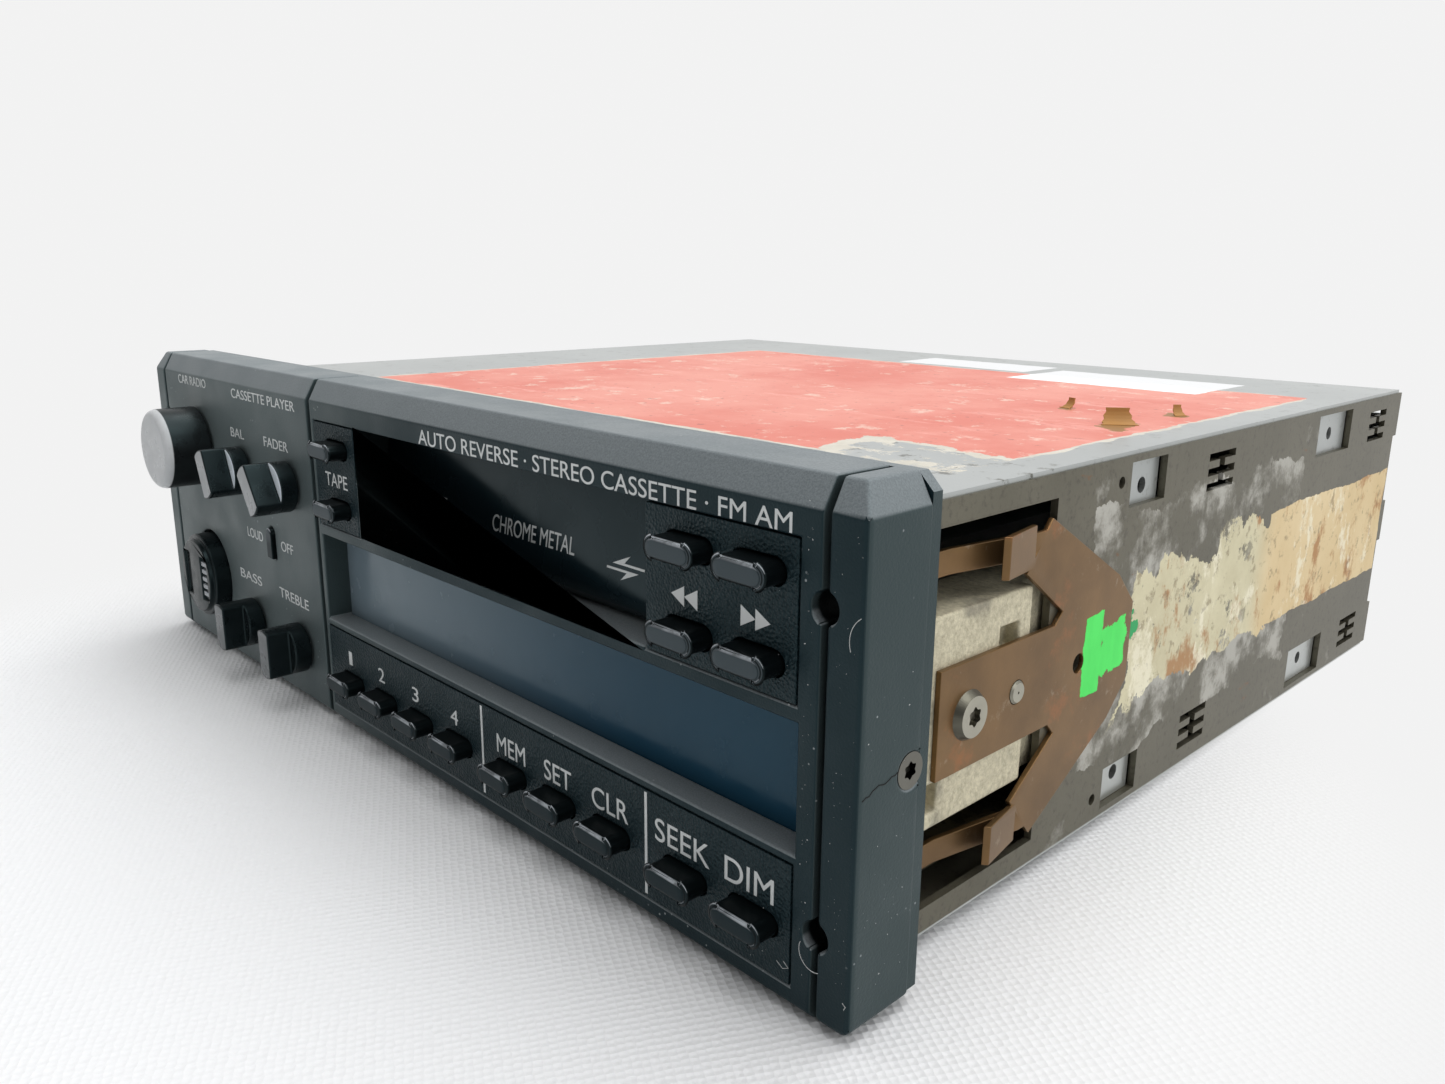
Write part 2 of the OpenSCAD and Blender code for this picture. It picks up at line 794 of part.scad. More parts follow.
// A push switch on the front board behind each key.
module tact_switch(x, z) {
    block([x - 2, switch_top + 0.8, z - 2], [x + 2, y_board, z + 2]);
    bar_y(x, z, 1, switch_top, switch_top + 0.9);
}

module tact_switches() {
    color("black") {
        for (z = [row_upper, row_lower])
            tact_switch(side_key_x, z);
        for (i = [0 : 3])
            tact_switch(transport_x(i % 2), transport_z(i));
        for (i = [0 : preset_count - 1])
            tact_switch(preset_x(i), row_preset);
        tact_switch(loud_pos[0], loud_pos[1]);
        for (s = [-1, 1])
            block([rocker_pos[0] - 2, rocker_y + 2.4, rocker_pos[1] + s * 6 - 2],
                  [rocker_pos[0] + 2, y_board, rocker_pos[1] + s * 6 + 2]);
    }
}

// ---- keys and knobs ----

// A key with a bevelled front edge and a rim that keeps it behind its panel.
module key(x, z) {
    r = key_h / 2;
    b = 0.35;
    y0 = y_front - key_out;
    stadium(x, z, key_l, key_h, y0 + b, key_back + eps);
    stadium(x, z, key_l + 2 * key_flange + 2 * key_gap, key_h + 2 * key_flange + 2 * key_gap,
            key_back, key_end);
    for (s = [-1, 1])
        translate([x + s * (key_l / 2 - r), y0, z])
            rotate([-90, 0, 0])
                cylinder(r1 = r - b, r2 = r, h = b + eps);
    profile_x([[y0, z - r + b], [y0 + b, z - r], [y0 + b + eps, z - r], [y0 + b + eps, z + r],
               [y0 + b, z + r], [y0, z + r - b]], x - key_l / 2 + r, x + key_l / 2 - r);
}

module side_key_1() {
    color("black")
        key(side_key_x, row_upper);
}

module side_key_2() {
    color("black")
        key(side_key_x, row_lower);
}

module transport_key(i) {
    color("black")
        key(transport_x(i % 2), transport_z(i));
}

module transport_key_1() transport_key(0);
module transport_key_2() transport_key(1);
module transport_key_3() transport_key(2);
module transport_key_4() transport_key(3);

module preset_key(i) {
    color("black")
        key(preset_x(i), row_preset);
}

module preset_key_1() preset_key(0);
module preset_key_2() preset_key(1);
module preset_key_3() preset_key(2);
module preset_key_4() preset_key(3);
module preset_key_5() preset_key(4);
module preset_key_6() preset_key(5);
module preset_key_7() preset_key(6);
module preset_key_8() preset_key(7);
module preset_key_9() preset_key(8);

module loudness_key() {
    proud = 0.7;
    color("black") {
        stadium_upright(loud_pos, loud_size, y_front - proud, key_back + eps);
        stadium_upright(loud_pos, loud_size + [1.4, 1.4], key_back, key_end);
    }
}

// Volume knob on its shaft, with a separate-looking rim around the front.
module volume_knob() {
    r = volume_d / 2;
    y0 = y_front - volume_out;
    y1 = y_front - knob_lift;
    color("black")
        translate([volume_pos[0], 0, volume_pos[1]])
            rotate([-90, 0, 0])
                union() {
                    translate([0, 0, y0])
                        rotate_extrude()
                            polygon([[0, 0], [r - 1, 0], [r - 0.3, 0.5], [r, 1.4],
                                     [r, y1 - y0], [0, y1 - y0]]);
                    translate([0, 0, y1 - eps])
                        cylinder(r = volume_shaft_r, h = y_board - 1.2 - y1);
                }
}

// A small knob: a round skirt with a grip bar across it, on its shaft.
module small_knob(x, z, out, turn) {
    r = small_d / 2;
    grip = 0.23 * small_d;
    skirt = 3;
    y0 = y_front - out;
    y1 = y_front - knob_lift;
    translate([x, 0, z])
        rotate([0, turn, 0]) {
            rotate([-90, 0, 0]) {
                translate([0, 0, y1 - skirt])
                    cylinder(r = r, h = skirt);
                translate([0, 0, y1 - eps])
                    cylinder(r = small_shaft_r, h = y_board - 1.2 - y1);
            }
            intersection() {
                bar_y(0, 0, r, y0, y1 - skirt + eps);
                translate([0, y1 - skirt + eps, 0])
                    rotate([90, 0, 0])
                        linear_extrude(y1 - skirt - y0)
                            polygon([[-grip, -r], [grip, -r], [grip, r], [-grip, r]]);
            }
        }
}

module balance_knob() {
    color("black")
        small_knob(small_x0, upper_z, upper_out, -22);
}

module fader_knob() {
    color("black")
        small_knob(small_x0 + knob_pitch, upper_z, upper_out, -34);
}

module bass_knob() {
    color("black")
        small_knob(small_x0, lower_z, lower_out, 0);
}

module treble_knob() {
    color("black")
        small_knob(small_x0 + knob_pitch, lower_z, lower_out, 0);
}

// Rocker disc that tilts on two side pins, with a raised grip across it.
module tuning_rocker() {
    r = rocker_d / 2;
    y0 = y_front - rocker_out;
    grip = [3, 8.6];
    color("black")
        difference() {
            union() {
                bar_y(rocker_pos[0], rocker_pos[1], r, y0 + 0.9, rocker_y);
                bar_y(rocker_pos[0], rocker_pos[1], r - 0.9, y0, rocker_y);
                bar_y(rocker_pos[0], rocker_pos[1], r + rocker_rim, rocker_y - 0.6, rocker_y + 0.6);
                bar_x(rocker_y, rocker_pos[1], rocker_pin_r,
                      rocker_pos[0] - rocker_lug_x - 1.6, rocker_pos[0] + rocker_lug_x + 1.6);
            }
            for (s = [-1, 1])
                translate([rocker_pos[0] + s * 4.2 - grip[0] / 2, y0 - 1, rocker_pos[1] - grip[1] / 2])
                    cube([grip[0], 1.6, grip[1]]);
        }
}

// ---- tape door ----

door_gap = 0.35;
door_y = y_frame - 2.9;
door_z = slot_z1 - 1.6;
door_lip = 0.4;

// Tape door: hangs from its pins and swings back and up when a tape is pushed in.
module cassette_door() {
    front = door_y - 1.2;
    low = slot_z0 + door_lip;
    color("black") {
        profile_x([[front, slot_z1 - 0.7], [front - 1.5, low + 5], [front - 1.7, low + 3],
                   [front - 1.3, low + 1.2], [front - 0.3, low], [front + 0.6, low],
                   [front - 0.1, low + 1.4], [front - 0.5, low + 3], [front - 0.3, low + 5],
                   [front + 1.2, slot_z1 - 0.7]],
                  slot_x0 + door_gap, slot_x1 - door_gap);
        bar_x(door_y, door_z, door_pin_r + 0.4, slot_x0 + door_gap, slot_x1 - door_gap);
        bar_x(door_y, door_z, door_pin_r, slot_x0 - slot_wall + 0.1, slot_x1 + slot_wall - 0.1);
    }
}

// ---- boards and rear ----

// Main board with its larger components as separate solids.
module main_board() {
    y0 = 8;
    y1 = rear_y - rear_t - conn_d - 2;
    edge = 2.5;
    top = pcb_z + board_t;
    color("green") {
        block([-hx + plate_t + edge, y0, pcb_z], [hx - plate_t - edge, y1, top]);
        for (s = [-1, 1])
            for (y = [y0 + 6, y1 - 8])
                bar_z(s * (hx - 12), y, 2.5, -hz, pcb_z);
    }
    color("black") {
        for (k = [0 : 3])
            bar_z(-hx + 18 + 14 * k, y1 - 14, 5, top, top + 12);
        for (k = [0 : 3])
            block([-hx + 16 + 22 * k, 24, top], [-hx + 30 + 22 * k, 32, top + 3]);
        block([sink_x0 + 6, y1 - 3, top], [sink_x0 + 26, y1, top + 16]);
        block([sink_x0 + 30, y1 - 3, top], [sink_x0 + 50, y1, top + 16]);
    }
}

// Screened tuner box on the main board.
module tuner_module() {
    top = pcb_z + board_t;
    color("silver")
        block([-hx + 12, 60, top], [-hx + 12 + 46, 60 + 38, top + 18]);
}

// Finned heat sink outside the rear panel.
module heat_sink() {
    fins = 9;
    base = 2.5;
    pitch = (sink_w - 2) / (fins - 1);
    color("silver") {
        block([sink_x0, rear_y, -hz + 6], [sink_x0 + sink_w, rear_y + base, hz - 6]);
        for (k = [0 : fins - 1])
            block([sink_x0 + k * pitch, rear_y + base - eps, -hz + 6],
                  [sink_x0 + k * pitch + 2, rear_y + base + fin_d, hz - 6]);
    }
}

// Connector block with two chambers and their contacts.
module rear_connector() {
    w = conn_w / 2;
    h = conn_h / 2;
    rim = 2;
    floor_t = 4;
    y1 = rear_y + 1;
    y0 = y1 - conn_d;
    color("dimgray") {
        difference() {
            block([conn_x - w, y0, -h], [conn_x + w, y1, h]);
            for (s = [0, 1])
                block([conn_x - w + rim, y0 + floor_t, s > 0 ? 1 : -h + rim],
                      [conn_x + w - rim, y1 + 1, s > 0 ? h - rim : -1]);
        }
        for (k = [0 : 3])
            for (z = [-h / 2 - 0.5, h / 2 + 0.5])
                for (d = [-2, 2])
                    block([conn_x - 15.5 + k * 10, y0 + floor_t - eps, z + d - 0.4],
                          [conn_x - 13.5 + k * 10, y0 + floor_t + 3, z + d + 0.4]);
    }
}

// Aerial socket: a sleeve with its centre contact at the bottom.
module aerial_socket() {
    y0 = rear_y - 10;
    y1 = rear_y + 6;
    color("silver")
        difference() {
            union() {
                bar_y(aerial_pos[0], aerial_pos[1], aerial_r + 1.3, y0, y1);
                block([aerial_pos[0] - 7, y0, aerial_pos[1] - 7],
                      [aerial_pos[0] + 7, rear_y - rear_t, aerial_pos[1] + 7]);
            }
            bar_y(aerial_pos[0], aerial_pos[1], aerial_r, y0 + 4, y1 + 1);
        }
}

// Threaded support stud with its nut behind the rear panel.
module rear_stud() {
    nut_t = 3;
    color("silver")
        translate([0, 0, hz - 8])
            rotate([-90, 0, 0]) {
                translate([0, 0, rear_y - 5])
                    cylinder(r = stud_r, h = 5 + stud_l);
                translate([0, 0, rear_y - rear_t - 3])
                    cylinder(r = 5, h = 3, $fn = 6);
                translate([0, 0, rear_y])
                    cylinder(r = 4.6, h = nut_t, $fn = 6);
            }
}

// ---- tape deck ----

// Deck plate on four posts, with bushes for the capstans and the reel spindles.
module deck_plate() {
    top = deck_z;
    color("lightgray")
        difference() {
            union() {
                block([deck_x0, deck_y0, top - deck_t], [deck_x1, deck_y1, top]);
                for (x = [deck_x0 + 4, deck_x1 - 4])
                    for (y = [deck_y0 + 4, deck_y1 - 4])
                        bar_z(x, y, 2.5, pcb_z + board_t, top);
                for (x = [deck_x0 + 1, deck_x1 - 2.2])
                    block([x, deck_y0 + 8, top - eps], [x + 1.2, deck_y1 - 8, top + 12]);
            }
            for (s = [-1, 1]) {
                bar_z(capstan_x, reel_y + s * capstan_pitch / 2, capstan_r + running,
                      top - deck_t - 1, top + 1);
                bar_z(reel_x, reel_y + s * reel_pitch / 2, 1.5 + running, top - deck_t - 1, top + 1);
            }
            bar_z(motor_x, motor_y, 2.6, top - deck_t - 1, top + 1);
        }
}

// Motor that hangs below the deck plate, with its shaft in a separate pulley.
module deck_motor() {
    top = deck_z - deck_t;
    color("silver")
        difference() {
            bar_z(motor_x, motor_y, motor_r, top - 18, top - 9);
            bar_z(motor_x, motor_y, 1 + running, top - 14, top);
        }
    color("silver")
        for (s = [-1, 1])
            bar_z(motor_x + s * (motor_r - 2), motor_y, 1.2, top - 9 - eps, top);
}

module motor_pulley() {
    color("goldenrod") {
        bar_z(motor_x, motor_y, 1, deck_z - deck_t - 13, belt_z + belt_w);
        bar_z(motor_x, motor_y, pulley_r, belt_z - 0.3, belt_z + belt_w + 0.3);
    }
}

// A capstan flywheel: its shaft turns in the deck plate and reaches the tape.
module flywheel(s) {
    y = reel_y + s * capstan_pitch / 2;
    color("goldenrod") {
        bar_z(capstan_x, y, flywheel_r, wheel_z0, wheel_z0 + flywheel_t);
        bar_z(capstan_x, y, capstan_r, wheel_z0 - 2, deck_z + 5);
    }
}

module flywheel_a() flywheel(-1);
module flywheel_b() flywheel(1);

// Centre of belt wheel i: the two flywheels and the motor's pulley, in order round the belt.
function belt_wheel(i) =
    i == 0 ? [capstan_x, reel_y - capstan_pitch / 2, flywheel_r]
    : (i == 1 ? [motor_x, motor_y, pulley_r] : [capstan_x, reel_y + capstan_pitch / 2, flywheel_r]);

// Flat outline of the belt's loop, grown by g.
module belt_loop(g) {
    hull()
        for (i = [0 : 2])
            translate([belt_wheel(i)[0], belt_wheel(i)[1]])
                circle(r = belt_wheel(i)[2] + g, $fn = 48);
}

module drive_belt() {
    color("black")
        translate([0, 0, belt_z])
            linear_extrude(belt_w)
                difference() {
                    belt_loop(running * 4 + belt_t);
                    belt_loop(running * 4);
                }
}

// A reel spindle: a toothed hub on a pin in the deck plate.
module reel_spindle(s) {
    y = reel_y + s * reel_pitch / 2;
    color("white") {
        bar_z(reel_x, y, 1.5, deck_z - deck_t - 1.5, deck_z + 1);
        bar_z(reel_x, y, 9, deck_z + 0.3, deck_z + 2);
        bar_z(reel_x, y, 3.2, deck_z + 1.9, deck_z + reel_h - 0.3);
        for (a = [0, 120, 240])
            translate([reel_x, y, deck_z + 1.9])
                rotate([0, 0, a])
                    translate([-0.6, 0, 0])
                        cube([1.2, reel_r, reel_h - 2.6]);
    }
}

module reel_spindle_a() reel_spindle(-1);
module reel_spindle_b() reel_spindle(1);

// Sliding carriage with the tape head and the two pinch rollers.
module head_carriage() {
    x0 = deck_x0 + 3;
    x1 = roller_x + 3;
    z0 = deck_z + 0.3;
    z1 = z0 + head_plate_t;
    y = reel_y;
    color("silver") {
        block([x0, y - 38, z0], [x1, y + 38, z1]);
        block([x1 - 8, y - 6, z1 - eps], [x1, y + 6, z1 + 7]);
        for (s = [-1, 1])
            bar_z(roller_x, y + s * capstan_pitch / 2, roller_r, z1 - eps, z1 + 7);
    }
}

side_frame_l();
side_frame_r();
rear_panel();
top_cover();
bottom_cover();
side_castings();
retaining_springs();
spring_fasteners();
front_frame();
end_cap_l();
end_cap_r();
cap_screws();
knob_moulding();
main_moulding();
side_key_panel();
transport_panel();
preset_panel();
display_lens();
display_module();
front_board();
rotary_controls();
tact_switches();
main_board();
tuner_module();
heat_sink();
rear_connector();
aerial_socket();
rear_stud();
deck_plate();
deck_motor();
motor_pulley();
flywheel_a();
flywheel_b();
drive_belt();
reel_spindle_a();
reel_spindle_b();
head_carriage();
cassette_door();
volume_knob();
balance_knob();
fader_knob();
bass_knob();
treble_knob();
tuning_rocker();
loudness_key();
side_key_1();
side_key_2();
transport_key_1();
transport_key_2();
transport_key_3();
transport_key_4();
preset_key_1();
preset_key_2();
preset_key_3();
preset_key_4();
preset_key_5();
preset_key_6();
preset_key_7();
preset_key_8();
preset_key_9();
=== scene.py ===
# %% [markdown]
# # A car radio with a cassette player
# This lesson dresses a finished mechanical model of a dashboard radio. The model brings every part
# at its real size and place, and the joints that the knobs, keys and tape door move on. What is
# left is what the eye reads first: softened plastic edges, grained and worn surfaces, printed
# marks, stained sheet steel, and an old label on the cover.

# %% Load the frame
import json
import math
import random
import bmesh
import bpy
from mathutils import Matrix, Vector

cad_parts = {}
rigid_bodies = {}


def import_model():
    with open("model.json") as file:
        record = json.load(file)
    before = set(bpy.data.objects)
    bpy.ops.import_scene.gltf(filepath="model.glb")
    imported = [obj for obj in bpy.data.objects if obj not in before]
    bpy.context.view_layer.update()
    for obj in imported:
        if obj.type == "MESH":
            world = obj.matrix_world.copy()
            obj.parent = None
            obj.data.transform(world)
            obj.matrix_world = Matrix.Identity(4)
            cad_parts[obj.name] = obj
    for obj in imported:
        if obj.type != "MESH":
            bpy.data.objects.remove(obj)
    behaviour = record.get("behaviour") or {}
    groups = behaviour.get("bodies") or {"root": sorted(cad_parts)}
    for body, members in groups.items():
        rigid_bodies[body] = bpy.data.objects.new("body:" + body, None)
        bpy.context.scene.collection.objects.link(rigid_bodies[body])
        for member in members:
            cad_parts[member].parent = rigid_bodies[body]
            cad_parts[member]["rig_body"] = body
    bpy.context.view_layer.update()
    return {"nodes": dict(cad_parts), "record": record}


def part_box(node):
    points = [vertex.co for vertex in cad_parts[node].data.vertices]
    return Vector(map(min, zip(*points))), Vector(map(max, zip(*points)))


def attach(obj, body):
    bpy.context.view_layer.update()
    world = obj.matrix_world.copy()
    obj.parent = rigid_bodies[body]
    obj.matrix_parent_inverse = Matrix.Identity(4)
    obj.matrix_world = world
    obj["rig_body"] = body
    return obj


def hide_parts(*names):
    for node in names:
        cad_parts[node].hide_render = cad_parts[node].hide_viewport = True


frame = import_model()
MM = 0.001

# %% [markdown]
# All places come from the boxes of the parts. The front of the mouldings, the bottom edge of the
# fascia and the middle of the radio are used so often that they get short names. `at` turns a
# place on the fascia, given as millimetres from the middle and up from the bottom edge, into a
# point in the model's own frame.

# %% Landmarks
cap_low, cap_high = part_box("end_cap_r")
plate_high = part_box("side_frame_r")[1]
COVER_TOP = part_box("top_cover")[1].z
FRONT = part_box("main_moulding")[0].y
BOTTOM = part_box("main_moulding")[0].z


def at(x, z, y=FRONT):
    """A point x mm from the middle and z mm above the fascia's bottom edge."""
    return Vector((x * MM, y, BOTTOM + z * MM))


print("front face at y", round(FRONT, 4), "bottom edge at z", round(BOTTOM, 4))

# %% [markdown]
# The camera stands low at the right-hand end of the fascia and close to it, which is why the near
# end of the radio looks so much larger than the far one. A wide lens at a short distance does
# that; moving back with a longer lens would flatten the view.

# %% Camera
CAMERA_AT = Vector((154.7, -87.7, 49.2)) * MM
YAW, PITCH, ROLL = 0.805, 0.247, 0.008
LENS = 27.86


def aim_camera():
    level = math.cos(PITCH)
    ahead = Vector((-math.sin(YAW) * level, math.cos(YAW) * level, -math.sin(PITCH)))
    right = Vector((math.cos(YAW), math.sin(YAW), 0))
    up = right.cross(ahead)
    right, up = (right * math.cos(ROLL) + up * math.sin(ROLL),
                 up * math.cos(ROLL) - right * math.sin(ROLL))
    data = bpy.data.cameras.new("camera")
    data.lens = LENS
    data.sensor_width = 36
    data.clip_start = 0.005
    camera = bpy.data.objects.new("camera", data)
    bpy.context.scene.collection.objects.link(camera)
    facing_ahead = Matrix((right, up, -ahead)).transposed().to_4x4()
    camera.matrix_world = Matrix.Translation(CAMERA_AT) @ facing_ahead
    bpy.context.scene.camera = camera
    return camera


camera = aim_camera()
print("camera at", [round(v, 3) for v in camera.location])

# %% [markdown]
# A material here is a short chain: a colour that varies a little, a roughness that varies a
# little, and a bump for the surface's grain. These helpers add one link of the chain each, so that
# every finish below reads as a recipe. Patterns use object coordinates, which never slide when a
# part moves.

# %% Node helpers
def new_material(name, colour, roughness, metallic=0.0):
    material = bpy.data.materials.new(name)
    material.use_nodes = True
    shader = shader_of(material)
    shader.inputs["Base Color"].default_value = (*colour, 1)
    shader.inputs["Roughness"].default_value = roughness
    shader.inputs["Metallic"].default_value = metallic
    material.diffuse_color = (*colour, 1)
    return material


def node(owner, kind, **inputs):
    made = owner.node_tree.nodes.new("ShaderNode" + kind)
    for key, value in inputs.items():
        made.inputs[key.replace("_", " ")].default_value = value
    return made


def link(owner, out, into):
    owner.node_tree.links.new(out, into)


def shader_of(material):
    return material.node_tree.nodes["Principled BSDF"]


def object_place(material, stretch=(1, 1, 1), turn=0.0):
    """Object coordinates, turned about Z and stretched by a factor along each axis."""
    place = node(material, "TexCoord")
    mapping = node(material, "Mapping", Scale=stretch, Rotation=(0, 0, turn))
    link(material, place.outputs["Object"], mapping.inputs["Vector"])
    return mapping.outputs["Vector"]


def noise(material, scale, detail=3.0, roughness=0.5, stretch=(1, 1, 1)):
    """Cloudy values from 0 to 1; scale is in features per metre."""
    made = node(material, "TexNoise", Scale=scale, Detail=detail, Roughness=roughness)
    link(material, object_place(material, stretch), made.inputs["Vector"])
    return made.outputs["Fac"]


def cells(material, scale):
    made = node(material, "TexVoronoi", Scale=scale)
    link(material, object_place(material), made.inputs["Vector"])
    return made.outputs["Distance"]


def remap(owner, value, low, high, to_low=0.0, to_high=1.0):
    made = node(owner, "MapRange")
    made.interpolation_type = "SMOOTHSTEP"
    limits = {"From Min": low, "From Max": high, "To Min": to_low, "To Max": to_high}
    for name, limit in limits.items():
        made.inputs[name].default_value = limit
    link(owner, value, made.inputs["Value"])
    return made.outputs["Result"]


def plug(owner, socket, value):
    """Gives a socket a number or a colour, or links another node's output to it."""
    if isinstance(value, bpy.types.NodeSocket):
        link(owner, value, socket)
    else:
        socket.default_value = (*value, 1) if isinstance(value, tuple) else value


def maths(owner, operation, a, b=0.0):
    made = node(owner, "Math")
    made.operation = operation
    plug(owner, made.inputs[0], a)
    plug(owner, made.inputs[1], b)
    return made.outputs[0]


def times(material, a, b):
    return maths(material, "MULTIPLY", a, b)


def mix(material, factor, a, b):
    """A colour between a and b; each is a colour or a socket."""
    made = node(material, "Mix")
    made.data_type = "RGBA"
    for number, value in ((0, factor), (6, a), (7, b)):
        plug(material, made.inputs[number], value)
    return made.outputs[2]


def stain(material, colour, mask, strength, tint):
    """The colour, with a tint over it where the mask is 1."""
    return mix(material, times(material, mask, strength), colour, tint)


def blotches(material, low, high, scale, detail, roughness=0.5, stretch=(1, 1, 1)):
    """Noise pushed through a narrow range: 1 in the blotches, 0 between them."""
    return remap(material, noise(material, scale, detail, roughness, stretch), low, high)


def base_colour(material, value):
    link(material, value, shader_of(material).inputs["Base Color"])


def uneven_roughness(material, low, high, scale, detail=3):
    polish = remap(material, noise(material, scale, detail), 0.3, 0.7, low, high)
    link(material, polish, shader_of(material).inputs["Roughness"])


def by_mask(material, name, mask, outside, inside):
    """Sets one of the shader's inputs to one value outside a mask and another inside it."""
    link(material, remap(material, mask, 0, 1, outside, inside), shader_of(material).inputs[name])


def bump(material, height, depth, strength=1.0):
    """Adds a bump of that depth in metres on top of the bumps made before."""
    shader = shader_of(material)
    made = node(material, "Bump", Strength=strength, Distance=depth)
    link(material, height, made.inputs["Height"])
    before = shader.inputs["Normal"].links
    if before:
        link(material, before[0].from_socket, made.inputs["Normal"])
    link(material, made.outputs["Normal"], shader.inputs["Normal"])


def part_of(owner, output, axis):
    """The X, Y or Z of a texture coordinate."""
    split = node(owner, "SeparateXYZ")
    link(owner, node(owner, "TexCoord").outputs[output], split.inputs["Vector"])
    return split.outputs[axis]


def along(material, axis, low, high, to_low=0.0, to_high=1.0):
    """A ramp between two places on the object's X, Y or Z axis, in metres."""
    return remap(material, part_of(material, "Object", axis), low, high, to_low, to_high)


def facing(material, axis, low, high, to_low=0.0, to_high=1.0):
    """A ramp by how much the surface faces along X, Y or Z of the object, from -1 to 1."""
    return remap(material, part_of(material, "Normal", axis), low, high, to_low, to_high)


def specks(material, scale, size, amount):
    """Sparse dust specks: 1 inside a speck, 0 elsewhere."""
    dots = remap(material, cells(material, scale), size * 0.5, size, 1.0, 0.0)
    where = blotches(material, 1 - amount, 1 - amount + 0.05, scale * 0.11, 2.0)
    return times(material, dots, where)


def patch(material, first, second, ragged, scale):
    """1 inside a rectangle, given as (axis, low mm, high mm) twice, with an outline that wanders."""
    depth = None
    for axis, low, high in (first, second):
        value = part_of(material, "Object", axis)
        for a, b in ((value, low * MM), (high * MM, value)):
            inside = maths(material, "SUBTRACT", a, b)
            depth = inside if depth is None else maths(material, "MINIMUM", depth, inside)
    wander = maths(material, "SUBTRACT", noise(material, scale, 6, 0.62), 0.5)
    wander = times(material, wander, ragged * 2 * MM)
    return remap(material, maths(material, "ADD", depth, wander), 0, 0.00012)


print("helpers ready")

# %% [markdown]
# The radio lies on a pale cloth in a bright, even light. A white world gives the soft fill that
# leaves hardly any shadow, and one large lamp above draws the long highlights along the chamfers.
# Low down in front the world is darker, so the fascia stays nearly black while everything that
# faces up is lit. The cloth fades into plain white with distance. It slopes by less than a degree,
# because the radio rests on the fascia's bottom edge and the rear edge of its lower cover.

# %% Floor and light
WHITE = 0.89
WEAVES_PER_METRE = 1050
CLOTH_ENDS, WHITE_BEGINS = 0.095, 0.155


def pale_floor():
    slope = (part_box("bottom_cover")[0].z - BOTTOM) / (plate_high.y - cap_low.y)
    mesh = bpy.data.meshes.new("floor")
    size = 6.0
    corners = []
    for x, y in ((-size, -size), (size, -size), (size, size), (-size, size)):
        corners.append((x, y, BOTTOM + slope * y - 0.0003))
    mesh.from_pydata(corners, [], [(0, 1, 2, 3)])
    floor = bpy.data.objects.new("floor", mesh)
    bpy.context.scene.collection.objects.link(floor)
    cloth = new_material("floor_cloth", (0.76, 0.765, 0.775), 0.9)
    dimples = node(cloth, "TexVoronoi", Randomness=0.25, Scale=1.0)
    link(cloth, object_place(cloth, (WEAVES_PER_METRE,) * 3, 0.5), dimples.inputs["Vector"])
    bump(cloth, dimples.outputs["Distance"], 0.0004, 0.6)
    reach = node(cloth, "VectorMath")
    reach.operation = "LENGTH"
    link(cloth, node(cloth, "TexCoord").outputs["Object"], reach.inputs[0])
    white = node(cloth, "Emission", Color=(1, 1, 1, 1), Strength=WHITE)
    blend = node(cloth, "MixShader")
    link(cloth, remap(cloth, reach.outputs["Value"], CLOTH_ENDS, WHITE_BEGINS), blend.inputs[0])
    link(cloth, shader_of(cloth).outputs[0], blend.inputs[1])
    link(cloth, white.outputs[0], blend.inputs[2])
    link(cloth, blend.outputs[0], cloth.node_tree.nodes["Material Output"].inputs["Surface"])
    mesh.materials.append(cloth)
    return slope


def lamp(name, place, target, size, power):
    data = bpy.data.lights.new(name, "AREA")
    data.shape = "RECTANGLE"
    data.size, data.size_y = size
    data.energy = power
    light = bpy.data.objects.new(name, data)
    bpy.context.scene.collection.objects.link(light)
    light.location = place
    light.rotation_euler = (Vector(target) - Vector(place)).to_track_quat("-Z", "Y").to_euler()


def pale_room():
    """White all round, darker low down in front, so that the fascia has something dark to reflect."""
    world = bpy.data.worlds.new("studio")
    world.use_nodes = True
    lift = maths(world, "MULTIPLY_ADD", part_of(world, "Generated", "Z"), 0.35)
    link(world, part_of(world, "Generated", "Y"), lift.node.inputs[2])
    background = world.node_tree.nodes["Background"]
    background.inputs["Color"].default_value = (1, 1, 1, 1)
    link(world, remap(world, lift, -0.55, 0.1, 0.30, WHITE), background.inputs["Strength"])
    bpy.context.scene.world = world


slope = pale_floor()
pale_room()
lamp("ceiling_light", (0.15, 0.25, 1.1), (0, 0.05, 0), (1.4, 1.1), 11)
lamp("side_light", (1.1, 0.1, 0.5), (0.09, 0.06, 0), (0.7, 0.5), 2.2)
bpy.context.scene.view_settings.view_transform = "Standard"
print("floor slopes by", round(math.degrees(slope), 2), "degrees")

# %% [markdown]
# The fascia is moulded in black plastic with a spark-eroded grain, which scatters light so finely
# that the black looks like dark slate. Handling has polished it in patches, pale dust specks sit on
# it, and faces that look to the right are painted a lighter grey as painted light from that side.
# The inserts round the keys carry a coarser grain.

# %% Plastics
# The black that is painted as shade inside the tool holes.
HOLE_SHADE = (0.001, 0.001, 0.001)
COLD = (0.65, 0.95, 1.0, 1)
GRIP_FRONT, GRIP_BACK = FRONT - 0.0052, FRONT - 0.0050
HOLES_BEGIN, HOLES_END, HOLES_REACH = (0.0866, 0.0868), (0.0921, 0.0923), (0.0235, 0.0240)


def matt(material, level):
    """Old grained plastic returns little light, and what it returns is a cold grey."""
    shader_of(material).inputs["Specular IOR Level"].default_value = level
    shader_of(material).inputs["Specular Tint"].default_value = COLD


def from_middle(material, axis):
    """The distance from the middle of the radio along an axis."""
    return maths(material, "ABSOLUTE", part_of(material, "Object", axis))


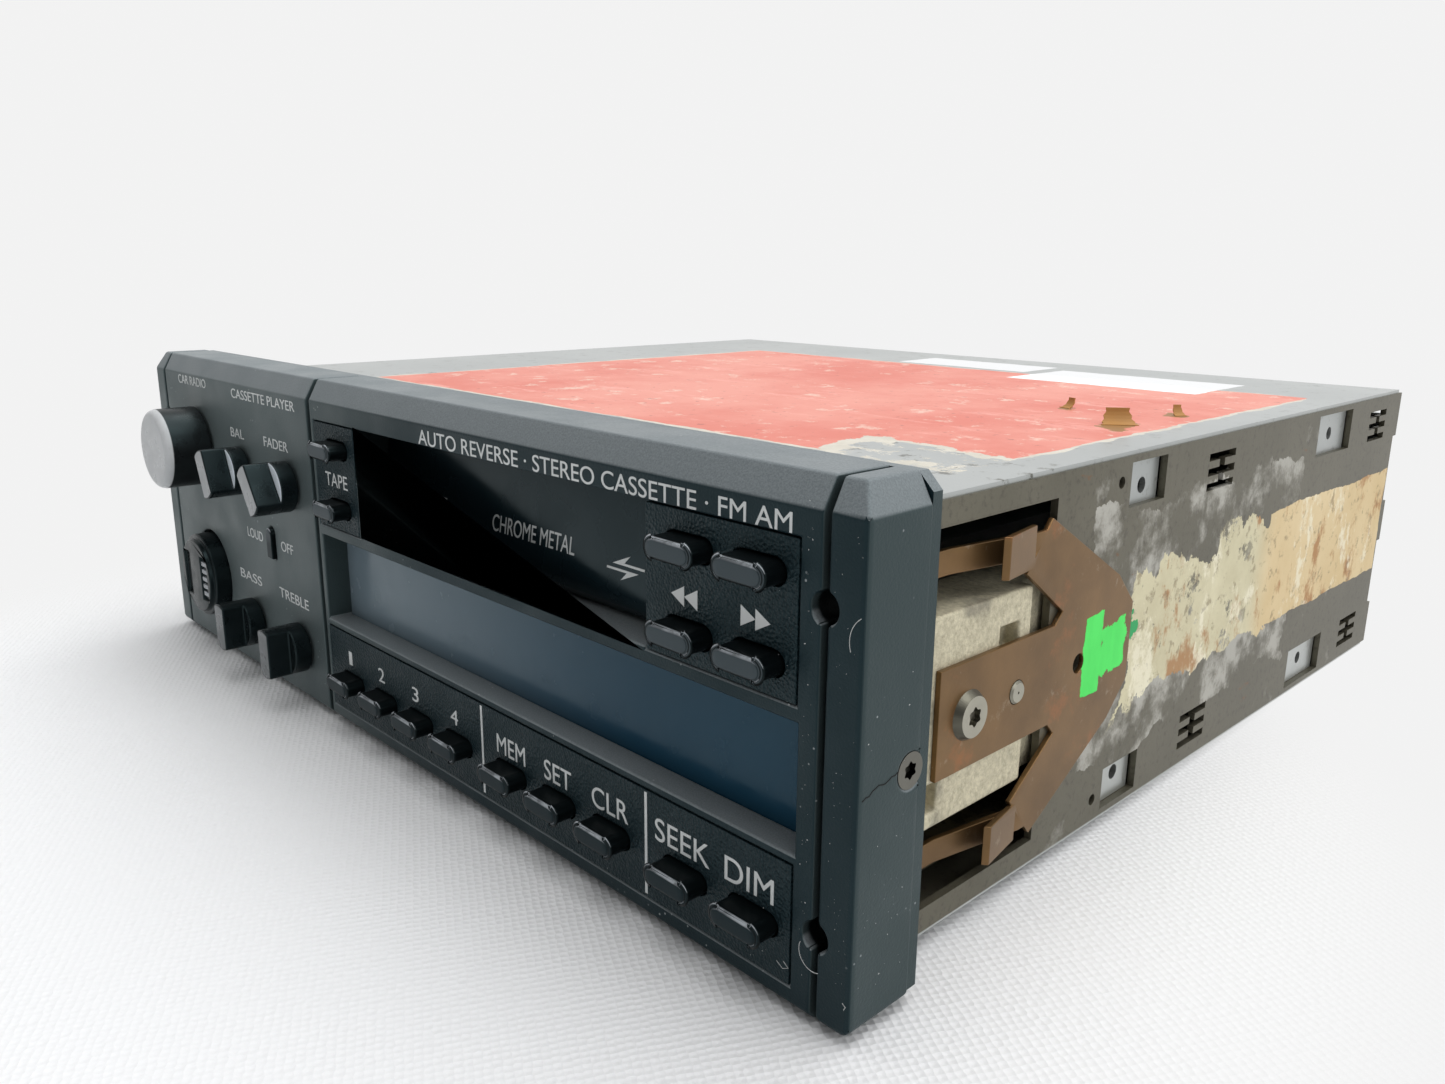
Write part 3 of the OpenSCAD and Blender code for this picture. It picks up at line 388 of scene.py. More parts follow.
def fascia_plastic():
    """Black, lighter leftwards and facing up, with painted light on right-facing faces and painted
    shade in the tool holes.
    """
    material = new_material("fascia_plastic", (0.005, 0.013, 0.018), 0.5)
    patches = noise(material, 35, 4)
    colour = mix(material, patches, (0.0030, 0.0095, 0.0130), (0.0070, 0.0170, 0.0220))
    # Lighter grey towards the left-hand end, set by place along X alone.
    lighter_leftwards = along(material, "X", -0.045, 0.02, 0.9, 0.0)
    colour = mix(material, lighter_leftwards, colour, (0.105, 0.128, 0.130))
    # Painted light: faces that look to the right, towards the side lamp, are painted a lighter grey.
    colour = mix(material, facing(material, "X", 0.6, 0.9), colour, (0.034, 0.047, 0.049))
    # Lighter grey where the surface faces up, broken a little by the grain noise.
    grain = remap(material, noise(material, 5200, 2), 0.3, 0.7, 0.75, 1.0)
    colour = stain(material, colour, facing(material, "Z", 0.2, 0.5), grain, (0.180, 0.200, 0.210))
    dusty = mix(material, specks(material, 900, 0.16, 0.4), colour, (0.3, 0.32, 0.33))
    # Painted shade: inside the two tool holes, behind the front face, the plastic is painted black.
    across = from_middle(material, "X")
    tool_hole_shade = remap(material, across, *HOLES_BEGIN)
    tool_hole_shade = times(material, tool_hole_shade, remap(material, across, *HOLES_END, 1, 0))
    height = from_middle(material, "Z")
    tool_hole_shade = times(material, tool_hole_shade, remap(material, height, *HOLES_REACH, 1, 0))
    hole_shade_depth = along(material, "Y", FRONT + 0.0007, FRONT + 0.0014)
    base_colour(material, stain(material, dusty, tool_hole_shade, hole_shade_depth, HOLE_SHADE))
    uneven_roughness(material, 0.40, 0.56, 90)
    matt(material, 0.27)
    bump(material, noise(material, 3400, 2), 0.00007, 0.7)
    return material


def panel_plastic():
    material = new_material("panel_plastic", (0.03, 0.035, 0.038), 0.5)
    patches = noise(material, 60)
    base_colour(material, mix(material, patches, (0.0045, 0.0115, 0.0150), (0.0100, 0.0195, 0.0240)))
    uneven_roughness(material, 0.38, 0.52, 200)
    matt(material, 0.26)
    bump(material, cells(material, 2600), 0.00016, 1.0)
    return material


def key_plastic():
    """Glossy black, with matt front faces and bright upper front edges, partly rubbed by fingers,
    partly a painted highlight.
    """
    material = new_material("key_plastic", (0.006, 0.008, 0.009), 0.2)
    front = facing(material, "Y", -0.98, -0.9, 1.0, 0.0)
    tape_keys = along(material, "Z", -0.001, 0.001)
    face = mix(material, tape_keys, (0.0060, 0.0125, 0.0160), (0.050, 0.062, 0.070))
    colour = mix(material, front, (0.0015, 0.0022, 0.0026), face)
    # Upper front edges painted bright: partly rubbed by fingers, partly a painted highlight.
    ahead = facing(material, "Y", -0.5, -0.3, 1.0, 0.0)
    edge_wear_and_highlight = times(material, facing(material, "Z", 0.25, 0.5), ahead)
    rubbed = remap(material, noise(material, 600), 0.35, 0.6, 0.45, 1.0)
    base_colour(material, stain(material, colour, edge_wear_and_highlight, rubbed, (0.40, 0.43, 0.46)))
    by_mask(material, "Roughness", front, 0.3, 0.45)
    matt(material, 0.18)
    bump(material, noise(material, 4000, 2), 0.00002, 0.3)
    return material


def knob_plastic(name="knob_plastic", face=(0.12, 0.125, 0.13)):
    """Black, with a paler worn front on the part that fingers hold."""
    material = new_material(name, (0.005, 0.007, 0.008), 0.3)
    colour = mix(material, noise(material, 150), (0.0025, 0.0040, 0.0048), (0.0060, 0.0085, 0.0095))
    worn = facing(material, "Y", -0.98, -0.9, 1.0, 0.0)
    ahead = along(material, "Y", GRIP_FRONT, GRIP_BACK, 1.0, 0.0)
    base_colour(material, stain(material, colour, worn, ahead, face))
    uneven_roughness(material, 0.24, 0.40, 300)
    matt(material, 0.25)
    bump(material, noise(material, 3000, 2), 0.00003, 0.4)
    return material


def volume_plastic():
    """The volume knob: black round the side, with a light cap that reaches over the rim."""
    material = knob_plastic("volume_plastic")
    front_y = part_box("volume_knob")[0].y
    cap = along(material, "Y", front_y + 0.0012, front_y + 0.0014, 1.0, 0.0)
    silver = mix(material, noise(material, 500), (0.42, 0.43, 0.44), (0.52, 0.53, 0.54))
    base_colour(material, mix(material, cap, (0.007, 0.0075, 0.008), silver))
    return material


def pointer_plastic():
    """The balance and fader knobs: the disc behind the dark grip bar is silver."""
    material = knob_plastic("pointer_plastic", (0.30, 0.31, 0.32))
    plain = shader_of(material).inputs["Base Color"].links[0].from_socket
    front = facing(material, "Y", -0.9, -0.7, 1.0, 0.0)
    behind = along(material, "Y", GRIP_FRONT, GRIP_BACK)
    base_colour(material, stain(material, plain, front, behind, (0.66, 0.72, 0.78)))
    return material


def door_plastic():
    material = new_material("door_plastic", (0.012, 0.016, 0.018), 0.22)
    patches = noise(material, 50)
    base_colour(material, mix(material, patches, (0.0050, 0.0115, 0.0150), (0.0090, 0.0180, 0.0230)))
    uneven_roughness(material, 0.2, 0.34, 120, 4)
    matt(material, 0.26)
    bump(material, noise(material, 1200, 2), 0.00001, 0.3)
    return material


def lens_plastic():
    material = new_material("lens_plastic", (0.012, 0.022, 0.034), 0.2)
    colour = mix(material, noise(material, 40), (0.0070, 0.0370, 0.0680), (0.0115, 0.0480, 0.0840))
    # Lighter towards the left-hand end, set by place along X alone.
    lighter_leftwards = along(material, "X", -0.02, 0.06, 0.95, 0.0)
    base_colour(material, mix(material, lighter_leftwards, colour, (0.150, 0.195, 0.225)))
    matt(material, 0.2)
    polish = remap(material, noise(material, 260, 4), 0.35, 0.7, 0.16, 0.28)
    link(material, polish, shader_of(material).inputs["Roughness"])
    return material


def plain_plastic(name, colour, roughness=0.45):
    material = new_material(name, colour, roughness)
    lighter = tuple(min(1, c * 1.35 + 0.004) for c in colour)
    base_colour(material, mix(material, noise(material, 160), colour, lighter))
    uneven_roughness(material, roughness - 0.06, roughness + 0.08, 250)
    bump(material, noise(material, 2500, 2), 0.00003, 0.4)
    return material


volume_finish = volume_plastic()
pointer_finish = pointer_plastic()
finish = {
    "fascia_plastic": fascia_plastic(),
    "panel_plastic": panel_plastic(),
    "key_plastic": key_plastic(),
    "knob_plastic": knob_plastic(),
    "door_plastic": door_plastic(),
    "lens_plastic": lens_plastic(),
    "connector_plastic": plain_plastic("connector_plastic", (0.02, 0.021, 0.022)),
    "spindle_plastic": plain_plastic("spindle_plastic", (0.72, 0.72, 0.70), 0.4),
    "belt_rubber": plain_plastic("belt_rubber", (0.012, 0.012, 0.013), 0.6),
}
print("plastics:", len(finish))

# %% [markdown]
# The chassis is zinc-plated sheet steel that has spent decades behind a dashboard: dull brown-grey,
# with whitish bloom spreading from cut edges and old glue. Each stain is one mask: a noise that
# has been pushed through a narrow range, so that it has a clear but ragged border.

# %% Metals
def stained_steel():
    """Plated sheet with stains, rust and, on the right-hand plate, what is left of a paper label."""
    material = new_material("plate_steel", (0.22, 0.20, 0.175), 0.5, 0.6)
    colour = mix(material, noise(material, 45, 5, 0.6), (0.082, 0.076, 0.053), (0.170, 0.158, 0.118))
    fine = blotches(material, 0.50, 0.72, 900, 4, 0.7)
    colour = stain(material, colour, fine, 0.6, (0.055, 0.045, 0.036))
    wander = noise(material, 85, 6, 0.66)
    near = patch(material, ("Y", 40, 110), ("Z", -17, 19), 9, 50)
    bloom = times(material, remap(material, wander, 0.46, 0.62), near)
    faint = times(material, remap(material, wander, 0.62, 0.72), 0.6)
    bloom = maths(material, "MAXIMUM", bloom, faint)
    colour = stain(material, colour, bloom, 0.8, (0.46, 0.45, 0.41))
    rust = blotches(material, 0.66, 0.74, 110, 5, 0.7, (1, 1, 2.5))
    colour = stain(material, colour, rust, 0.75, (0.20, 0.085, 0.03))
    outside = facing(material, "X", 0.5, 0.6)
    torn = patch(material, ("Y", 51, 101), ("Z", -10, 10), 9, 75)
    whole = patch(material, ("Y", 98, 156), ("Z", -9.5, 10.5), 1.2, 120)
    paper = times(material, maths(material, "MAXIMUM", torn, whole), outside)
    yellowed = mix(material, noise(material, 60, 5, 0.6), (0.52, 0.37, 0.17), (0.76, 0.63, 0.40))
    residue = mix(material, noise(material, 130, 6, 0.7), (0.42, 0.37, 0.23), (0.72, 0.68, 0.48))
    glue = mix(material, along(material, "Y", 0.092, 0.102), residue, yellowed)
    streaks = blotches(material, 0.53, 0.61, 85, 7, 0.72, (0.8, 0.8, 0.5))
    glue = stain(material, glue, streaks, 0.8, (0.34, 0.145, 0.04))
    pale = blotches(material, 0.54, 0.62, 100, 7, 0.74, (1, 1, 0.7))
    glue = stain(material, glue, pale, 0.7, (0.80, 0.76, 0.60))
    specked = blotches(material, 0.56, 0.68, 420, 4, 0.7)
    glue = stain(material, glue, specked, 0.55, (0.16, 0.11, 0.06))
    gaps = blotches(material, 0.56, 0.62, 150, 7, 0.74)
    gaps = times(material, gaps, along(material, "Y", 0.085, 0.1, 1.0, 0.0))
    paper = times(material, paper, remap(material, gaps, 0, 1, 1.0, 0.15))
    colour = mix(material, paper, colour, glue)
    splash = patch(material, ("Y", 50.5, 55), ("Z", 0, 2.4), 4.5, 260)
    base_colour(material, stain(material, colour, splash, outside, (0.03, 0.34, 0.11)))
    covered = maths(material, "MAXIMUM", bloom, paper)
    by_mask(material, "Roughness", covered, 0.42, 0.75)
    by_mask(material, "Metallic", covered, 0.6, 0.0)
    bump(material, noise(material, 2600), 0.00003, 0.5)
    bump(material, covered, 0.0001, 0.6)
    return material


def labelled_cover():
    """The top cover: bare sheet with a large red label, two small white ones and worn edges."""
    material = new_material("top_sheet", (0.5, 0.52, 0.51), 0.38, 0.7)
    colour = mix(material, noise(material, 30, 5, 0.6), (0.33, 0.35, 0.345), (0.50, 0.52, 0.51))
    spots = blotches(material, 0.56, 0.66, 300, 5, 0.75)
    front_edge = patch(material, ("Y", 0, 34), ("X", -60, 92), 9, 70)
    front_edge = remap(material, front_edge, 0, 1, 0.35, 1.0)
    colour = stain(material, colour, spots, front_edge, (0.13, 0.13, 0.11))
    up = facing(material, "Z", 0.5, 0.6)
    bare = patch(material, ("X", 64, 95), ("Y", 5, 31), 7, 90)
    kept = remap(material, noise(material, 130, 7, 0.75), 0.53, 0.57, 1.0, 0.0)
    whole = remap(material, times(material, bare, kept), 0, 1, 1.0, 0.0)
    red = patch(material, ("X", -56, 82), ("Y", 19, 128), 2.2, 60)
    corner = patch(material, ("X", 61, 95), ("Y", 5, 33), 8, 90)
    red = times(material, red, remap(material, corner, 0, 1, 1.0, 0.0))
    fade = remap(material, noise(material, 26, 6, 0.65), 0.35, 0.65)
    ink = mix(material, fade, (0.60, 0.150, 0.105), (0.68, 0.260, 0.200))
    rubbed = blotches(material, 0.58, 0.64, 170, 7, 0.75)
    ink = stain(material, ink, rubbed, 0.65, (0.72, 0.56, 0.46))
    scuffs = blotches(material, 0.56, 0.64, 150, 7, 0.74, (0.25, 1, 1))
    ink = stain(material, ink, scuffs, 0.45, (0.78, 0.38, 0.32))
    grime = blotches(material, 0.60, 0.70, 500, 5, 0.7)
    ink = stain(material, ink, grime, 0.6, (0.20, 0.05, 0.04))
    paper = times(material, patch(material, ("X", -57, 83), ("Y", 18, 128.5), 3.0, 90), whole)
    dull = mix(material, noise(material, 200, 5, 0.7), (0.40, 0.37, 0.30), (0.68, 0.65, 0.57))
    covered = times(material, paper, up)
    colour = mix(material, covered, colour, dull)
    colour = stain(material, colour, red, up, ink)
    for first, second in ((("X", -12, 22), ("Y", 131, 146)), (("X", 26, 66), ("Y", 118, 141))):
        white = patch(material, first, second, 1.0, 140)
        colour = stain(material, colour, white, up, (0.86, 0.87, 0.88))
    for first, second in ((("X", 73, 79), ("Y", 64, 74)), (("X", 59, 62), ("Y", 79, 83)),
                          (("X", 76, 79), ("Y", 84, 88))):
        torn = patch(material, first, second, 5, 170)
        colour = stain(material, colour, torn, up, (0.27, 0.13, 0.028))
    base_colour(material, colour)
    by_mask(material, "Roughness", covered, 0.34, 0.52)
    by_mask(material, "Metallic", covered, 0.7, 0.0)
    bump(material, covered, 0.0001, 0.6)
    bump(material, noise(material, 1500), 0.00002, 0.4)
    return material


def spring_metal():
    """Copper-brown spring steel with a daub of green inspection paint on the right-hand spring."""
    material = new_material("spring_steel", (0.30, 0.20, 0.15), 0.38, 0.75)
    colour = mix(material, noise(material, 90, 5, 0.6), (0.085, 0.050, 0.022), (0.27, 0.155, 0.062))
    worn = blotches(material, 0.60, 0.70, 260, 5, 0.7)
    colour = stain(material, colour, worn, 0.5, (0.34, 0.27, 0.19))
    rusty = blotches(material, 0.56, 0.68, 75, 6, 0.7)
    colour = stain(material, colour, rusty, 0.55, (0.34, 0.13, 0.045))
    body = patch(material, ("Y", 38.4, 43.2), ("Z", -5.2, 6.0), 0.9, 220)
    tail = patch(material, ("Y", 42, 49), ("Z", -2.6, 4.0), 3.4, 260)
    daub = times(material, maths(material, "MAXIMUM", body, tail), facing(material, "X", 0.5, 0.6))
    strokes = noise(material, 300, 4, 0.6, (1, 1, 0.4))
    brushed = mix(material, strokes, (0.03, 0.60, 0.07), (0.08, 0.84, 0.13))
    base_colour(material, mix(material, daub, colour, brushed))
    by_mask(material, "Roughness", daub, 0.36, 0.55)
    by_mask(material, "Metallic", daub, 0.75, 0.0)
    bump(material, noise(material, 2400), 0.00002, 0.4)
    bump(material, daub, 0.00015, 0.7)
    return material


def sheet_steel():
    material = new_material("cover_steel", (0.5, 0.52, 0.51), 0.38, 0.8)
    colour = mix(material, noise(material, 30, 5, 0.6), (0.40, 0.42, 0.41), (0.60, 0.62, 0.60))
    spots = blotches(material, 0.62, 0.70, 240, 4, 0.7)
    base_colour(material, stain(material, colour, spots, 0.45, (0.30, 0.29, 0.26)))
    uneven_roughness(material, 0.28, 0.46, 80, 4)
    bump(material, noise(material, 1500), 0.00002, 0.4)
    return material


def metal(name, colour, roughness, darker=0.7, scale=120):
    material = new_material(name, colour, roughness, 1.0)
    dark = tuple(c * darker for c in colour)
    base_colour(material, mix(material, noise(material, scale, 4, 0.6), dark, colour))
    uneven_roughness(material, roughness - 0.07, roughness + 0.12, scale * 2, 4)
    bump(material, noise(material, 2400), 0.00002, 0.4)
    return material


def screw_metal(name, colour, flank_shade):
    """A screw's flat faces are rubbed bright; its flanks and the walls of its recess get a painted
    shade.
    """
    material = metal(name, colour, 0.36, 0.6, 400)
    plain = shader_of(material).inputs["Base Color"].links[0].from_socket
    # Painted shade: faces that do not look straight out along X, the flanks and recess walls, take
    # the dark colour.
    across = maths(material, "ABSOLUTE", part_of(material, "Normal", "X"))
    base_colour(material, mix(material, remap(material, across, 0.55, 0.9), flank_shade, plain))
    return material


def cast_metal():
    material = new_material("die_casting", (0.46, 0.46, 0.44), 0.6, 0.4)
    grains = noise(material, 1500, 3, 0.7)
    colour = mix(material, grains, (0.20, 0.175, 0.115), (0.86, 0.80, 0.60))
    dirt = blotches(material, 0.55, 0.72, 140, 4, 0.6)
    base_colour(material, stain(material, colour, dirt, 0.6, (0.12, 0.11, 0.09)))
    bump(material, grains, 0.0002, 0.8)
    return material


def circuit_board():
    material = new_material("circuit_board", (0.04, 0.033, 0.02), 0.35)
    tracks = blotches(material, 0.50, 0.53, 330, 1.0, 0.2, (1, 2.4, 1))
    base_colour(material, mix(material, tracks, (0.028, 0.024, 0.014), (0.05, 0.043, 0.024)))
    bump(material, tracks, 0.00005, 0.6)
    return material


finish.update({
    "plate_steel": stained_steel(),
    "cover_steel": sheet_steel(),
    "spring_steel": spring_metal(),
    "die_casting": cast_metal(),
    "screw_steel": screw_metal("screw_steel", (0.50, 0.48, 0.40), (0.13, 0.125, 0.10)),
    "black_screw": screw_metal("black_screw", (0.20, 0.195, 0.17), (0.012, 0.012, 0.012)),
    "control_metal": metal("control_metal", (0.55, 0.55, 0.54), 0.35),
    "sink_aluminium": metal("sink_aluminium", (0.58, 0.58, 0.59), 0.42, 0.8),
    "brass": metal("brass", (0.62, 0.46, 0.20), 0.28, 0.7),
    "circuit_board": circuit_board(),
})
for entry in frame["record"]["subparts"]:
    mesh = frame["nodes"][entry["node"]].data
    mesh.materials.clear()
    mesh.materials.append(finish[entry["material_slot"]])
for name, special in (("top_cover", labelled_cover()), ("volume_knob", volume_finish),
                      ("balance_knob", pointer_finish), ("fader_knob", pointer_finish)):
    frame["nodes"][name].data.materials[0] = special
print("finishes:", len(finish))

# %% [markdown]
# Moulded plastic never has a knife edge: every edge is rounded a little, and that thin round is
# what catches the light and draws the outline of a part. So the visible mouldings, keys and knobs
# get copies with rounded edges. Only the roundness changes, by a few tenths of a millimetre, and
# always inwards. Weighted normals keep the flat faces flat between the rounds.

# %% Soft edges
WELD, GROWTH = 0.000002, 0.000005
COPLANAR, SHARP, CREASE = math.radians(1), math.radians(25), math.radians(50)
SHARES = (1.0, 0.7, 0.5, 0.35, 0.2, 0.1)


def settle(piece):
    """Turns a piece's modifiers into plain mesh."""
    seen = piece.evaluated_get(bpy.context.evaluated_depsgraph_get())
    mesh = bpy.data.meshes.new_from_object(seen)
    piece.modifiers.clear()
    piece.data = mesh
    mesh.name = piece.name
    return piece


def new_piece(name, mesh, body="chassis"):
    piece = bpy.data.objects.new(name, mesh)
    bpy.context.scene.collection.objects.link(piece)
    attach(piece, body)
    return piece


def rounded(source, radius):
    """The source mesh with its sharp edges rounded by radius mm, or None if that leaves a gap."""
    work = bmesh.new()
    work.from_mesh(source)
    bmesh.ops.remove_doubles(work, verts=work.verts, dist=WELD)
    bmesh.ops.dissolve_limit(work, angle_limit=COPLANAR, verts=work.verts, edges=work.edges)
    sharp = [e for e in work.edges if e.calc_face_angle(0) > SHARP]
    bmesh.ops.bevel(work, geom=sharp, offset=radius * MM, segments=2, profile=0.5, affect="EDGES")
    bmesh.ops.triangulate(work, faces=work.faces)
    closed = all(len(e.link_faces) == 2 for e in work.edges)
    mesh = bpy.data.meshes.new("rounded")
    work.to_mesh(mesh)
    work.free()
    old, new = [[v.co for v in m.vertices] for m in (source, mesh)]
    grown = max(max(max(b[i] for b in new) - max(a[i] for a in old),
                    min(a[i] for a in old) - min(b[i] for b in new)) for i in range(3))
    return mesh if closed and grown < GROWTH else None


def soften(name, radius):
    source = frame["nodes"][name]
    mesh = None
    for share in SHARES:
        mesh = mesh or rounded(source.data, radius * share)
    if mesh is None:
        print(name, "keeps its plain mesh")
        return None
    for material in source.data.materials:
        mesh.materials.append(material)
    mesh.shade_smooth()
    mesh.set_sharp_from_angle(angle=CREASE)
    draft = bpy.data.objects.new(name + "_draft", mesh)
    bpy.context.scene.collection.objects.link(draft)
    weights = draft.modifiers.new("weights", "WEIGHTED_NORMAL")
    weights.keep_sharp = True
    mesh = settle(draft).data
    bpy.data.objects.remove(draft)
    mesh.name = name + "_soft"
    piece = new_piece(name + "_soft", mesh, source["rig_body"])
    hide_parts(name)
    return piece


SOFT = {"main_moulding": 0.3, "knob_moulding": 0.3, "end_cap_r": 0.35, "end_cap_l": 0.35,
        "side_key_panel": 0.15, "transport_panel": 0.15, "preset_panel": 0.15, "volume_knob": 0.3,
        "balance_knob": 0.3, "fader_knob": 0.3, "bass_knob": 0.3, "treble_knob": 0.3,
        "tuning_rocker": 0.25, "loudness_key": 0.2, "cassette_door": 0.2, "retaining_springs": 0.12,
        "side_castings": 0.4}
for node_name in frame["nodes"]:
    if "_key_" in node_name and "panel" not in node_name:
        SOFT[node_name] = 0.3
soft_pieces = {name: soften(name, radius) for name, radius in SOFT.items()}
print("rounded parts:", sum(piece is not None for piece in soft_pieces.values()))

# %% [markdown]
# The marks are printed in pale ink. Each word is made as thin letters and then fitted into its
# place on the fascia, which is given by its left and right ends and its lower and upper lines. The
# words are plain names for what such a control does. The words on the tape door lean back with it
# and swing with it.

# %% Printed marks
INK = plain_plastic("printed_ink", (0.50, 0.52, 0.52), 0.5)
INK_HALF = 0.01
PROUD, SUNK = 0.03 * MM, 0.02 * MM
DOOR_FOOT, DOOR_RISE, DOOR_LEAN = 40.3, 10.7, 0.0015
DOOR_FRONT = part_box("cassette_door")[0].y


def curve_mesh(curve):
    """The plain mesh of a curve or of letters."""
    drawn = bpy.data.objects.new(curve.name, curve)
    bpy.context.scene.collection.objects.link(drawn)
    seen = drawn.evaluated_get(bpy.context.evaluated_depsgraph_get())
    mesh = bpy.data.meshes.new_from_object(seen)
    bpy.data.objects.remove(drawn)
    return mesh


def letters(words):
    curve = bpy.data.curves.new("letters", "FONT")
    curve.body = words
    curve.extrude = INK_HALF
    return curve_mesh(curve)


def outline(points):
    """A flat shape drawn in X and Y, as thin as the letters are."""
    mesh = bpy.data.meshes.new("outline")
    work = bmesh.new()
    face = work.faces.new([work.verts.new((x, y, -INK_HALF)) for x, y in points])
    if face.normal.z > 0:
        face.normal_flip()
    lifted = bmesh.ops.extrude_face_region(work, geom=[face])["geom"]
    upper = [v for v in lifted if isinstance(v, bmesh.types.BMVert)]
    bmesh.ops.translate(work, verts=upper, vec=(0, 0, 2 * INK_HALF))
    bmesh.ops.recalc_face_normals(work, faces=work.faces)
    work.to_mesh(mesh)
    work.free()
    return mesh


def flat_front(z):
    return FRONT


def door_face(z):
    """The door's outer face leans out towards its lower edge."""
    return DOOR_FRONT + 0.0002 + (z - DOOR_FOOT) / DOOR_RISE * DOOR_LEAN


def print_on(work, mesh, left, right, low, high, surface=flat_front):
    """Fits a flat mesh into a rectangle on the fascia, a hair proud of the surface."""
    xs = [v.co.x for v in mesh.vertices]
    ys = [v.co.y for v in mesh.vertices]
    for vertex in mesh.vertices:
        x = left + (right - left) * (vertex.co.x - min(xs)) / (max(xs) - min(xs))
        z = low + (high - low) * (vertex.co.y - min(ys)) / (max(ys) - min(ys))
        vertex.co = at(x, z, surface(z) - (PROUD if vertex.co.z > 0 else -SUNK))
    work.from_mesh(mesh)
    bpy.data.meshes.remove(mesh)


WORDS = [("AUTO REVERSE \u00b7 STEREO CASSETTE \u00b7 FM AM", 13.8, 84.7, 51.9, 54.0),
         ("CAR RADIO", -81, -66.5, 52.7, 54.4), ("CASSETTE PLAYER", -54, -27, 52.2, 53.9),
         ("BAL", -56, -50, 44.9, 46.6), ("FADER", -41, -31, 44.9, 46.6),
         ("BASS", -58, -48, 17.6, 19.4), ("TREBLE", -40, -28, 17.6, 19.4),
         ("LOUD", -52.5, -45.5, 26.6, 28.4), ("OFF", -37.5, -32.5, 26.6, 28.4),
         ("TAPE", -17, -9.5, 41.6, 43.8), ("1", -13.6, -12.5, 11.8, 14.1),
         ("2", -3.4, -1.5, 11.8, 14.1), ("3", 7.3, 9.2, 11.7, 14.0),
         ("4", 18.5, 20.5, 11.6, 13.9), ("MEM", 30.7, 37.5, 11.2, 13.9),
         ("SET", 41.9, 47.8, 11.2, 14.0), ("CLR", 52.1, 59.2, 11.2, 14.0),
         ("SEEK", 64.2, 73.5, 11.4, 14.3),
         ("DIM", 75.9, 83.3, 11.4, 14.3)]
arrow = [(0, 1), (1, 0), (1, 2)]
mirrored = [(1 - x, y) for x, y in arrow]
marks = bmesh.new()
for words, left, right, low, high in WORDS:
    print_on(marks, letters(words), left, right, low, high)
for left in (67.2, 69.3):
    print_on(marks, outline(arrow), left, left + 2.1, 41.0, 43.3)
for left in (77.9, 80.0):
    print_on(marks, outline(mirrored), left, left + 2.1, 41.0, 43.3)
for left in (26.7, 62.3):
    print_on(marks, outline([(0, 0), (1, 0), (1, 1), (0, 1)]), left, left + 0.45, 3.6, 16.8)
door_marks = bmesh.new()
print_on(door_marks, letters("CHROME METAL"), 25.1, 43.9, 40.9, 43.2, door_face)
print_on(door_marks, letters("TAPE"), 2.0, 13.0, 41.0, 43.4, door_face)
turn_left = outline([(0, 0.55), (6, 0.55), (6, 0.8), (2.2, 0.8), (3.2, 1.7)])
turn_right = outline([(6, 0.45), (0, 0.45), (0, 0.2), (3.8, 0.2), (2.8, -0.7)])
print_on(door_marks, turn_left, 51.6, 57.6, 41.6, 42.9, door_face)
print_on(door_marks, turn_right, 50.6, 56.6, 39.8, 41.1, door_face)
for name, work, body in (("printed_marks", marks, "chassis"),
                         ("door_marks", door_marks, "cassette_door")):
    bmesh.ops.remove_doubles(work, verts=work.verts, dist=1e-7)
    mesh = bpy.data.meshes.new(name)
    work.to_mesh(mesh)
    mesh.materials.append(INK)
    new_piece(name, mesh, body)
    print(name, "has", len(mesh.polygons), "faces")
    work.free()

# %% [markdown]
# Screws, ribs and specks repeat, so they come from small node generators with named inputs. A
# generator is told how large and how many; it realises its instances and paints them. `grow` runs
# one, keeps the plain mesh, and puts it in place.

# %% Generators
def generator(name, inputs):
    tree = bpy.data.node_groups.new(name, "GeometryNodeTree")
    tree.interface.new_socket("Geometry", in_out="OUTPUT", socket_type="NodeSocketGeometry")
    for label, kind in (*inputs, ("Material", "Material")):
        tree.interface.new_socket(label, in_out="INPUT", socket_type="NodeSocket" + kind)
    return tree, tree.nodes.new("NodeGroupInput").outputs


def step(tree, kind, wires, **settings):
    """Adds a node; each wire joins one of its inputs to a number or to another node's output."""
    made = tree.nodes.new(kind)
    for key, value in settings.items():
        setattr(made, key, value)
    for key, value in wires.items():
        socket = made.inputs[key]
        if isinstance(value, bpy.types.NodeSocket):
            tree.links.new(value, socket)
        else:
            socket.default_value = value
    return made.outputs


def sum_of(tree, operation, a, b):
    return step(tree, "ShaderNodeMath", {0: a, 1: b}, operation=operation)[0]


def close_generator(tree, given, geometry):
    realized = step(tree, "GeometryNodeRealizeInstances", {"Geometry": geometry})
    painted = step(tree, "GeometryNodeSetMaterial",
                   {"Geometry": realized[0], "Material": given["Material"]})
    out = tree.nodes.new("NodeGroupOutput")
    tree.links.new(painted[0], out.inputs[0])


def grow(tree, values, place):
    """The generator's mesh for these input values, moved to its place."""
    made = bpy.data.objects.new("grown", bpy.data.meshes.new("grown"))
    bpy.context.scene.collection.objects.link(made)
    modifier = made.modifiers.new("generator", "NODES")
    modifier.node_group = tree
    for item in tree.interface.items_tree:
        if item.in_out == "INPUT":
            modifier[item.identifier] = values[item.name]
    settle(made)
    mesh = made.data
    bpy.data.objects.remove(made)
    mesh.materials.clear()
    mesh.materials.append(values["Material"])
    mesh.polygons.foreach_set("material_index", [0] * len(mesh.polygons))
    mesh.transform(place)
    return mesh


